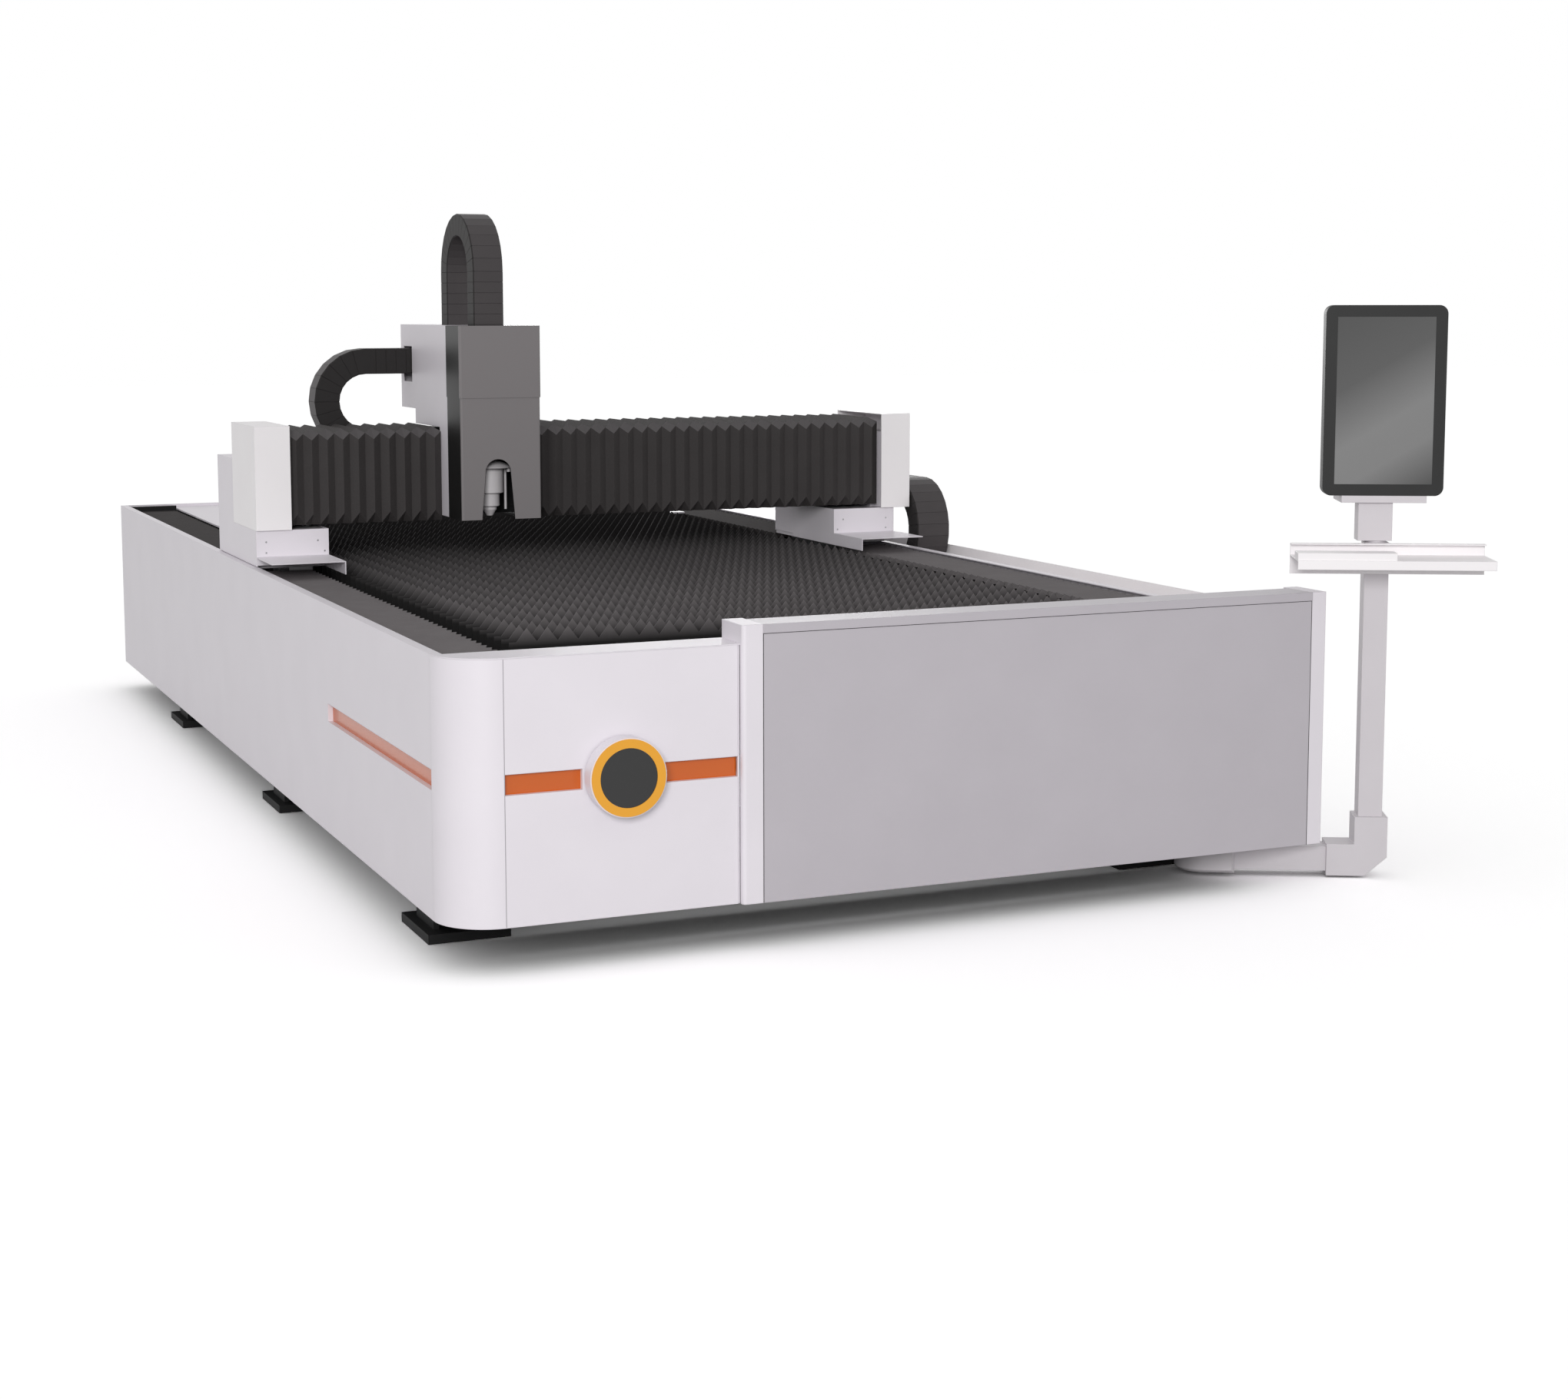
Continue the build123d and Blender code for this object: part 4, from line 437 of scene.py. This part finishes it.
# %% Strips
def strips(name, spans, cut, material, body):
    """Boxes from (low, high) corners: an eight-point outline in YZ, with its corners cut, along X."""
    spans = np.array(spans, float)
    low, high = spans[:, 0, None], spans[:, 1, None]
    y_side = np.array([0, 0, 1, 1, 1, 1, 0, 0])
    z_side = np.array([0, 0, 0, 0, 1, 1, 1, 1])
    y_cut = cut * np.array([0, 1, -1, 0, 0, -1, 1, 0])
    z_cut = cut * np.array([1, 0, 0, 1, -1, 0, 0, -1])
    rings = np.empty((len(spans), 2, 8, 3))
    rings[:, 0, :, 0] = low[..., 0]
    rings[:, 1, :, 0] = high[..., 0]
    rings[..., 1] = (low[..., 1] + y_side * (high[..., 1] - low[..., 1]) + y_cut)[:, None]
    rings[..., 2] = (low[..., 2] + z_side * (high[..., 2] - low[..., 2]) + z_cut)[:, None]
    made = carried(name, rings, material)
    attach(made, body)
    return made


# %% [markdown]
# ## Slat blades
# Fifty-two strips stand across the bed on three bars. Each has a row of points, because sheet
# metal should touch its support in as few places as possible: the beam burns what it meets.
# One strip is a four-point ring carried along X, whose two top points rise and fall.

# %% Slat blades
slat_low, slat_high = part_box("slat_blades")
BLADES = 52
TEETH = 30
BLADE_THICKNESS = 0.003
TOOTH_RISE = 0.033
FIRST_TIP = 0.044              # from the blade's left end to its first tip
LAST_TIP = 0.045               # from the last tip to its right end

tips_x = np.linspace(slat_low.x + FIRST_TIP, slat_high.x - LAST_TIP, TEETH)
half_pitch = (tips_x[1] - tips_x[0]) / 2
valleys_x = np.concatenate([tips_x - half_pitch, tips_x[-1:] + half_pitch])
edge_x = np.concatenate([[slat_low.x], np.sort(np.concatenate([tips_x, valleys_x])), [slat_high.x]])
edge_z = np.full(len(edge_x), slat_high.z - TOOTH_RISE)
edge_z[2:-2:2] = slat_high.z
blade_y = np.linspace(slat_low.y, slat_high.y - BLADE_THICKNESS, BLADES)[:, None]
rings = np.empty((BLADES, len(edge_x), 4, 3))
rings[..., 0] = edge_x[None, :, None]
rings[:, :, :2, 1] = blade_y[..., None]
rings[:, :, 2:, 1] = blade_y[..., None] + BLADE_THICKNESS
rings[:, :, [0, 3], 2] = slat_low.z
rings[:, :, [1, 2], 2] = edge_z[None, :, None]
blades = carried("slat_blades_pointed", rings, SLAT_STEEL)
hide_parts("slat_blades")
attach(blades, "bed")

# %% [markdown]
# ## Pleated covers over the bed rails
# Each rail lies under a flat folded cover. Seen from above it is a dark band with small
# triangular teeth along both edges, one at every fold. A flat four-point section gets wider
# and higher at each fold and narrower between.


# %% Rail covers
FOLD_PITCH = 0.042
FOLD_EDGE = 0.010
FOLD_DROP = 0.006
COVER_WIDTH = 0.170
COVER_HEIGHT = 0.016


def rail_cover(name, node, start_y, end_y, low_z, cloth):
    """Both flat covers: width and height step between the fold's and the valley's at every half pitch."""
    low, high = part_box(node)
    folds = max(2, round(abs(end_y - start_y) / FOLD_PITCH))
    y = np.linspace(start_y, end_y, 2 * folds + 1)
    valley = np.arange(len(y)) % 2
    left_edge = np.array([low.x, high.x - COVER_WIDTH])[:, None] + FOLD_EDGE * valley
    right_edge = np.array([low.x + COVER_WIDTH, high.x])[:, None] - FOLD_EDGE * valley
    top = low_z + COVER_HEIGHT - FOLD_DROP * valley
    rings = np.empty((2, len(y), 4, 3))
    rings[..., 1] = y[None, :, None]
    rings[:, :, [0, 3], 0] = left_edge[..., None]
    rings[:, :, [1, 2], 0] = right_edge[..., None]
    rings[:, :, :2, 2] = low_z
    rings[:, :, 2:, 2] = top[None, :, None]
    return carried(name, rings, cloth)


front_low, front_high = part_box("rail_covers_front")
rear_low, rear_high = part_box("rail_covers_rear")
COVER_BAR = 0.014
cover_z = front_high.z - COVER_HEIGHT
print("rail covers", [round(v, 3) for v in (*front_low, *front_high, *rear_low, *rear_high)])
front_ends = (front_low.y + COVER_BAR, front_high.y)
rear_ends = (rear_high.y - COVER_BAR, rear_low.y)
# the front covers take the paler copy of the cloth: painted light
cover_folds = {
    "front": rail_cover("rail_cover_folds_front", "rail_covers_front", *front_ends, cover_z, FRONT_COVER_CLOTH_LIT),
    "rear": rail_cover("rail_cover_folds_rear", "rail_covers_rear", *rear_ends, cover_z, CLOTH),
}
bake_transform(cover_folds["front"])
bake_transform(cover_folds["rear"])

# %% [markdown]
# The covers hang between two black bars that are screwed to the bed: a low one in front and a
# taller one at the rear, which shows above the deck as a dark block in each corner.


# %% Bars that hold the rail covers
BAR_BEVEL = 0.001
bars = []
for node_low, node_high, bar_y, bar_top in (
    (front_low, front_high, front_low.y, front_high.z),
    (rear_low, rear_high, rear_high.y - COVER_BAR, rear_high.z),
):
    for x in (node_low.x, node_high.x - COVER_WIDTH):
        bars.append(((x, bar_y, node_low.z), (x + COVER_WIDTH, bar_y + COVER_BAR, bar_top)))
cover_bars = strips("rail_cover_bars", bars, BAR_BEVEL, BLACK, "bed")
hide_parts("rail_covers_front", "rail_covers_rear")

# %% [markdown]
# ## Pleated covers of the gantry
# The beam hides in a cover folded like an accordion. Its upper and lower corners are pressed
# in, so every fold ends in a small diamond: the slanting cut is widest on the fold and runs
# out to a point in the valley. The section is a C, open behind. Its face and top go in and
# out with the folds, while the underside stays flat, as it does on a cover that lies on rails.


# %% Beam covers
PLEAT_DEPTH = 0.014
PLEAT_CUT = 0.033
PLEAT_WALL = 0.003


def beam_cover(name, node, folds, fixed_x, moving_x):
    """C sections at every half pitch: the fold's outline, then the valley's, set in by the depth."""
    low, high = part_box(node)
    x = np.linspace(fixed_x, moving_x, 2 * folds + 1)
    valley = ((np.arange(len(x)) + 1) % 2)[:, None]
    cut = PLEAT_CUT * (1 - valley)
    face = low.y + PLEAT_DEPTH * valley
    bottom = np.full_like(face, low.z)
    top = high.z - PLEAT_DEPTH * valley
    back = np.full_like(face, high.y)
    wall = PLEAT_WALL
    y = np.concatenate(
        [back, face + cut, face, face, face + cut, back, back, face + cut + wall, face + wall]
        + [face + wall, face + cut + wall, back],
        axis=1,
    )
    z = np.concatenate(
        [bottom, bottom, bottom + cut, top - cut, top, top, top - wall, top - wall, top - cut - wall]
        + [bottom + cut + wall, bottom + wall, bottom + wall],
        axis=1,
    )
    rings = np.stack([np.broadcast_to(x[:, None], y.shape), y, z], -1)
    # the diamonds facing forward and up take the paler copy of the cloth: painted light
    made = carried(
        name, rings, CLOTH, DIAMOND_CLOTH_LIT, lambda normal: (normal[:, 1] < -0.5) & (normal[:, 2] > 0.5)
    )
    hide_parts(node)
    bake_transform(made)
    return made


left_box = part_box("beam_bellows_left")
right_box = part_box("beam_bellows_right")
beam_cover("beam_cover_left", "beam_bellows_left", 10, left_box[0].x, left_box[1].x)
beam_cover("beam_cover_right", "beam_bellows_right", 26, right_box[1].x, right_box[0].x)

# %% [markdown]
# ## Cable chains
# A cable chain is a row of stiff nylon links that can bend one way only, down to a fixed
# radius. From a few steps away it is a smooth band that turns into flat facets where it
# bends. So a chain is one band, with a shallow groove round it at every joint.


# %% Cable chains
JOINT_DEPTH = 0.0010
JOINT_SHARE = 0.02             # half of a groove's width, as a share of a link
BAND_CORNER = 0.0030


def chain_band(name, inner, outer, side_axis, sides):
    """A band along two lines of joints, inner and outer, each (joints, 2) in the chain's plane.

    Each link has a full section just after its first joint and just before its second, and at the
    joint the section is smaller all round by the groove's depth. A section is a rectangle with its
    corners cut: a runs from the inner to the outer line, b from one side to the other.
    """
    lines = []
    for line in (inner, outer):
        step = line[1:] - line[:-1]
        stations = np.empty((3 * len(step) - 1, 2))
        stations[0::3] = line[:-1] + JOINT_SHARE * step
        stations[1::3] = line[1:] - JOINT_SHARE * step
        stations[2::3] = line[1:-1]
        stations[0], stations[-1] = line[0], line[-1]
        lines.append(stations)
    groove = np.zeros((len(lines[0]), 1))
    groove[2::3] = JOINT_DEPTH
    thickness = np.linalg.norm(lines[1] - lines[0], axis=1)[:, None]
    width = sides[1] - sides[0]
    near, far = groove, thickness - groove
    cut = np.full_like(near, BAND_CORNER)
    a = np.concatenate([near + cut, far - cut, far, far, far - cut, near + cut, near, near], 1) / thickness
    left, right = groove, width - groove
    b = np.concatenate([left, left, left + cut, right - cut, right, right, right - cut, left + cut], 1)
    flat = lines[0][:, None] + a[..., None] * (lines[1] - lines[0])[:, None]
    order = [sides[0] + b, flat[..., 0], flat[..., 1]]
    if side_axis == 1:
        order = [flat[..., 0], sides[0] + b, flat[..., 1]]
    # faces across the band take the paler copy, painted light; the side plates keep the dark tone
    made = carried(
        name, np.stack(order, -1), NYLON, NYLON_LIT_COPY, lambda normal: abs(normal[:, side_axis]) < 0.3
    )
    return made


def straight(start, end, inner_z, outer_z, pitch):
    """Joints of a level run: inner and outer points (along, z) from start to end."""
    along = np.linspace(start, end, max(2, round(abs(end - start) / pitch)) + 1)
    return tuple(np.stack([along, np.full_like(along, z)], 1) for z in (inner_z, outer_z))


def bend(centre, inner_r, outer_r, from_deg, to_deg, count):
    """Joints of a bend: centre + radius * (cos t, sin t) for count links."""
    t = np.radians(np.linspace(from_deg, to_deg, count + 1))
    turn = np.stack([np.cos(t), np.sin(t)], 1)
    return np.array(centre) + inner_r * turn, np.array(centre) + outer_r * turn


def travelling_chain(title, bodies, along, links):
    """Lower run, bend and upper run. The bend hangs from its own body, since a chain's bend moves
    half as far as its moving end; the runs stay where they are built."""
    lower, arc, upper = (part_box(f"{title}_chain_{part}") for part in ("lower_run", "bend", "upper_run"))
    axis_z = (arc[0].z + arc[1].z) / 2
    outer_r = (arc[1].z - arc[0].z) / 2
    inner_r = upper[0].z - axis_z
    turn_at = arc[1][along]
    sides = (arc[0][1 - along], arc[1][1 - along])
    pitch = pi * (inner_r + outer_r) / 2 / links
    fixed_end = lower[1][along]
    moving_end = upper[1][along]
    pieces = {
        "lower_run": straight(fixed_end, turn_at, axis_z - inner_r, axis_z - outer_r, pitch),
        "bend": bend((turn_at, axis_z), inner_r, outer_r, 270, 90, links),
        "upper_run": straight(turn_at, moving_end, axis_z + inner_r, axis_z + outer_r, pitch),
    }
    for part, (inner, outer) in pieces.items():
        made = chain_band(f"{title}_chain_band_{part}", inner, outer, 1 - along, sides)
        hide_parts(f"{title}_chain_{part}")
        if part == "bend":
            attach(made, bodies[2])
        else:
            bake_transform(made)
    print(title, "chain: bend radius", round(inner_r, 3), "to", round(outer_r, 3))


travelling_chain("x", ("gantry", "carriage", "x_chain_bend_body"), 0, 12)
travelling_chain("y", ("bed", "gantry", "y_chain_bend_body"), 1, 13)

# %% [markdown]
# ## Chain loop on the head
# The last chain stands upright on the head and lets the cutting head rise and fall. Its front
# leg goes down through the cover to the slide, and its rear leg ends on the top plate.

# %% Upright chain loop
loop_low, loop_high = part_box("z_chain_loop")
LOOP_BAND = 0.066
LOOP_LINKS = 14
loop_outer = (loop_high.y - loop_low.y) / 2
loop_centre = (loop_low.y + loop_outer, loop_high.z - loop_outer)
rear_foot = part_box("head_sides")[1].z
loop_pitch = pi * (loop_outer - LOOP_BAND / 2) / LOOP_LINKS
bend_lines = bend(loop_centre, loop_outer - LOOP_BAND, loop_outer, 180, 0, LOOP_LINKS)


def upright(y, start_z, end_z):
    """Joints of an upright leg: points (y, z) a link apart."""
    z = np.linspace(start_z, end_z, round(abs(end_z - start_z) / loop_pitch) + 1)
    return np.stack([np.full_like(z, y), z], 1)


loop_lines = []
for inset, arc_line in zip((LOOP_BAND, 0.0), bend_lines):
    front_leg = upright(loop_low.y + inset, loop_low.z, loop_centre[1])[:-1]
    rear_leg = upright(loop_high.y - inset, loop_centre[1], rear_foot)[1:]
    loop_lines.append(np.concatenate([front_leg, arc_line, rear_leg]))
loop = chain_band("z_chain_band", *loop_lines, 0, (loop_low.x, loop_high.x))
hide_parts("z_chain_loop")
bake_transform(loop)

# %% [markdown]
# ## Strip and skirt
# Behind the last slat stands a steel strip that keeps small offcuts off the deck. Under the
# carriage hangs a dark skirt that keeps sparks from the drive. Both are strips between the
# boxes of the solids around them.

# %% Strip behind the slats and skirt under the carriage
STRIP_GAP = 0.012              # behind the last slat
STRIP_FOOT = 0.030             # above the slats' feet
STRIP_RISE = 0.010             # above the slats' tips
SHEET_CUT = 0.0005
strip_y = slat_high.y + STRIP_GAP
strip_low = (slat_low.x, strip_y, slat_low.z + STRIP_FOOT)
strip_high = (slat_high.x, strip_y + BLADE_THICKNESS, slat_high.z + STRIP_RISE)
strips("slat_end_strip", [(strip_low, strip_high)], SHEET_CUT, SLAT_STEEL, "bed")

SKIRT_GAP = 0.004              # behind the slide, which passes in front when the head goes down
SKIRT_INSET = 0.008            # from the head's sides
SKIRT_THICKNESS = 0.003
SKIRT_LIFT = 0.002             # above the lower edge of the head's cover
head_low, head_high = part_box("lower_head_cover")
skirt_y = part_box("head_slide")[1].y + SKIRT_GAP
skirt_low = (head_low.x + SKIRT_INSET, skirt_y, head_low.z + SKIRT_LIFT)
skirt_high = (head_high.x - SKIRT_INSET, skirt_y + SKIRT_THICKNESS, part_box("carriage_plate")[0].z)
strips("carriage_skirt", [(skirt_low, skirt_high)], SHEET_CUT, BLACK, "carriage")

# %% [markdown]
# ## Seams of the front
# The front is made of separate sheets. The open gap beside the left post shows the folded edge
# of the panel behind it. A grey line of painted shade marks the seam between the corner and the
# panel, and charcoal lines of painted shade frame the grey sheet at both posts and under its lip.
# A line stands proud by less than half a millimetre, so that it lies over the paint and not in it.

# %% Seams of the front
SEAM_WIDTH = 0.0016
PROUD = 0.0004
LIP_HEIGHT = 0.021
LIP_PROUD = 0.002
EDGE_DEPTH = (0.002, 0.010)    # of the folded edge, behind the panel's face
CLEARANCE = 0.0002
EDGE_CUT = 0.0008
SHADE_LINE_CUT = 0.0001
SHADE_LINE_ENDS = (0.002, 0.001)     # a shade line stops this far from the panel's lower and upper edge
SUNK = 0.001                   # depth of a shade line below the paint
panel_low, panel_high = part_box("front_left_panel")
post_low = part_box("front_posts")[0]
grey_low, grey_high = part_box("front_grey_panel")
edge_low = (panel_high.x + CLEARANCE, panel_low.y + EDGE_DEPTH[0], panel_low.z)
edge_high = (post_low.x - CLEARANCE, panel_low.y + EDGE_DEPTH[1], panel_high.z)
strips("seam_return", [(edge_low, edge_high)], EDGE_CUT, WHITE, "bed")

corner_shade_low = (panel_low.x - SEAM_WIDTH / 2, panel_low.y - PROUD, panel_low.z + SHADE_LINE_ENDS[0])
corner_shade_high = (panel_low.x + SEAM_WIDTH / 2, panel_low.y + SUNK, panel_high.z - SHADE_LINE_ENDS[1])
strips("corner_seam_shade", [(corner_shade_low, corner_shade_high)], SHADE_LINE_CUT, SEAM_SHADE_GREY, "bed")

grey_face = grey_low.y + LIP_PROUD
lip_bottom = grey_high.z - LIP_HEIGHT
line_y = (grey_face - PROUD, grey_face + SUNK)
grey_shade_lines = [
    ((grey_low.x, line_y[0], grey_low.z), (grey_low.x + SEAM_WIDTH, line_y[1], lip_bottom)),
    ((grey_high.x - SEAM_WIDTH, line_y[0], grey_low.z), (grey_high.x, line_y[1], lip_bottom)),
    ((grey_low.x, line_y[0], lip_bottom - SEAM_WIDTH), (grey_high.x, line_y[1], lip_bottom)),
]
strips("grey_panel_shade_lines", grey_shade_lines, SHADE_LINE_CUT, GAP_SHADE_CHARCOAL, "bed")

# %% [markdown]
# ## Screws
# Covers are held by small cheese-head screws with a hexagon socket. A screw is a profile turned
# about its axis in twelve steps; the socket is turned with the head and half as deep.


# %% Screws
def screws(name, places, normal, radius, body):
    """Heads at places, turned about normal: point = place + r * (cos t e1 + sin t e2) + h * normal."""
    normal = np.array(normal, float)
    normal /= np.linalg.norm(normal)
    first = np.cross(normal, (0.3, 0.5, 0.8))
    first /= np.linalg.norm(first)
    second = np.cross(normal, first)
    profile = np.array([(0.42, 0.30), (0.46, 0.62), (0.80, 0.62), (1.0, 0.42), (1.0, 0.0)]) * radius
    t = np.linspace(0, 2 * pi, 12, endpoint=False)
    spoke = np.cos(t)[:, None] * first + np.sin(t)[:, None] * second
    head = profile[:, 0][:, None, None] * spoke + profile[:, 1][:, None, None] * normal
    made = carried(name, np.array(places, float)[:, None, None, :] + head, STEEL)
    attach(made, body)
    return made


SCREW_RADIUS = 0.0026
BASE_FRONT = 1.661             # Y of the saddle bases' front faces
saddle_low, saddle_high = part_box("saddle_covers")
mid_x = (saddle_low.x + saddle_high.x) / 2
one_side = np.array([(-0.085, 0.781), (0.069, 0.781), (-0.085, 0.749), (0.089, 0.749)])    # X and Z
both = np.concatenate([one_side, one_side * (-1, 1) + (2 * mid_x, 0)])
saddle_places = np.stack([both[:, 0], np.full(len(both), BASE_FRONT), both[:, 1]], 1)
screws("saddle_screws", saddle_places, (0, -1, 0), SCREW_RADIUS, "gantry")

# %% [markdown]
# ## Camera
# The camera stands in front of the left corner, a little above the gantry, and looks to the
# right along the bed. Its place, turn and lens were fitted to the machine's straight edges.
# The lens is shifted down, as in the photograph, so that uprights stay nearly upright.

# %% Camera
YAW = 0.4139
PITCH = 0.1141
ROLL = 0.0009
FOCAL_PIXELS = 3175.4
PHOTO_WIDTH = 2040
LENS_SHIFT = -0.0735           # as a share of the picture's width
SENSOR_MM = 36.0
camera_data = bpy.data.cameras.new("camera")
camera_data.sensor_width = SENSOR_MM
camera_data.lens = FOCAL_PIXELS / PHOTO_WIDTH * SENSOR_MM
camera_data.shift_y = LENS_SHIFT
camera_data.clip_end = 200.0
camera = bpy.data.objects.new("camera", camera_data)
camera.location = (-1.5690, -5.5198, 1.4766)
camera.rotation_euler = (pi / 2 - PITCH, ROLL, -YAW)
bpy.context.scene.collection.objects.link(camera)
bpy.context.scene.camera = camera
print("lens", round(camera_data.lens, 2), "mm")

# %% [markdown]
# ## Floor and light
# The studio is white all round. The floor takes the machine's shadow, and for the camera
# alone its colour is raised until the lit floor is as white as the background.

# %% Rays that see the white studio
def seen_rays(tree):
    """One for camera, glossy and transmission rays, which see the white studio, else zero."""
    rays = add_node(tree, "ShaderNodeLightPath").outputs
    total = rays["Is Camera Ray"]
    for kind in ("Is Glossy Ray", "Is Transmission Ray"):
        total = add_node(tree, "ShaderNodeMath", {0: total, 1: rays[kind]}, operation="MAXIMUM").outputs[0]
    return total


# %% Floor
FLOOR_SIZE = 80.0
FLOOR_Z = -0.0005
SKY = 0.52                     # light of the white studio on a level card
FLOOR_BOUNCE = 0.80            # colour of the floor for the light that it throws back
FLOOR_SEEN = 1.02 / SKY        # colour of the floor for the camera
floor_material, tree = new_material("studio_floor_white")
tone = add_node(
    tree,
    "ShaderNodeMix",
    {0: seen_rays(tree), 6: (FLOOR_BOUNCE,) * 3 + (1.0,), 7: (FLOOR_SEEN,) * 3 + (1.0,)},
    data_type="RGBA",
)
matt = add_node(tree, "ShaderNodeBsdfDiffuse", {"Color": tone.outputs[2]})
add_node(tree, "ShaderNodeOutputMaterial", {"Surface": matt.outputs[0]})
floor_mesh = bpy.data.meshes.new("floor")
corner_shares = np.array([(-1, -1), (1, -1), (1, 1), (-1, 1)]) * FLOOR_SIZE / 2
floor_mesh.from_pydata([(x, y, FLOOR_Z) for x, y in corner_shares.tolist()], [], [(0, 1, 2, 3)])
floor_mesh.materials.append(floor_material)
floor = bpy.data.objects.new("floor", floor_mesh)
bpy.context.scene.collection.objects.link(floor)

# %% World
world = bpy.data.worlds.new("studio")
bpy.context.scene.world = world
world.use_nodes = True
tree = world.node_tree
tree.nodes.clear()
strength = add_node(tree, "ShaderNodeMapRange", {"Value": seen_rays(tree), "To Min": SKY, "To Max": 1.0})
white = (1.0, 1.0, 1.0, 1.0)
sky = add_node(tree, "ShaderNodeBackground", {"Color": white, "Strength": strength.outputs[0]})
add_node(tree, "ShaderNodeOutputWorld", {"Surface": sky.outputs[0]})

# %% [markdown]
# A large soft lamp stands low, far in front of the left corner. It makes the front faces the
# brightest, and its light fades a little along the bed. A weaker one behind keeps the rear
# from going flat. Neither lights the floor, which would otherwise lose the shadow at the
# machine's foot.


# %% Lamps
def soft_lamp(name, place, aim, size, level, reach):
    """A square lamp that adds level to a white card at the distance reach: power = pi^2 reach^2 level."""
    data = bpy.data.lights.new(name, "AREA")
    data.size = size
    data.energy = pi**2 * reach**2 * level
    lamp = bpy.data.objects.new(name, data)
    lamp.location = place
    lamp.rotation_euler = (Vector(aim) - Vector(place)).to_track_quat("-Z", "Y").to_euler()
    bpy.context.scene.collection.objects.link(lamp)
    spared = bpy.data.collections.new(f"{name}_spares")
    spared.objects.link(floor)
    lamp.light_linking.receiver_collection = spared
    spared.collection_objects[0].light_linking.link_state = "EXCLUDE"
    return lamp


soft_lamp("key_lamp", (-4.3, -9.8, 3.9), (0.6, 0.5, 0.5), 3.4, 0.53, 11.5)
soft_lamp("rear_lamp", (5.0, 11.0, 2.6), (1.0, 2.0, 0.5), 3.0, 0.22, 8.0)
bpy.context.scene.view_settings.view_transform = "Standard"
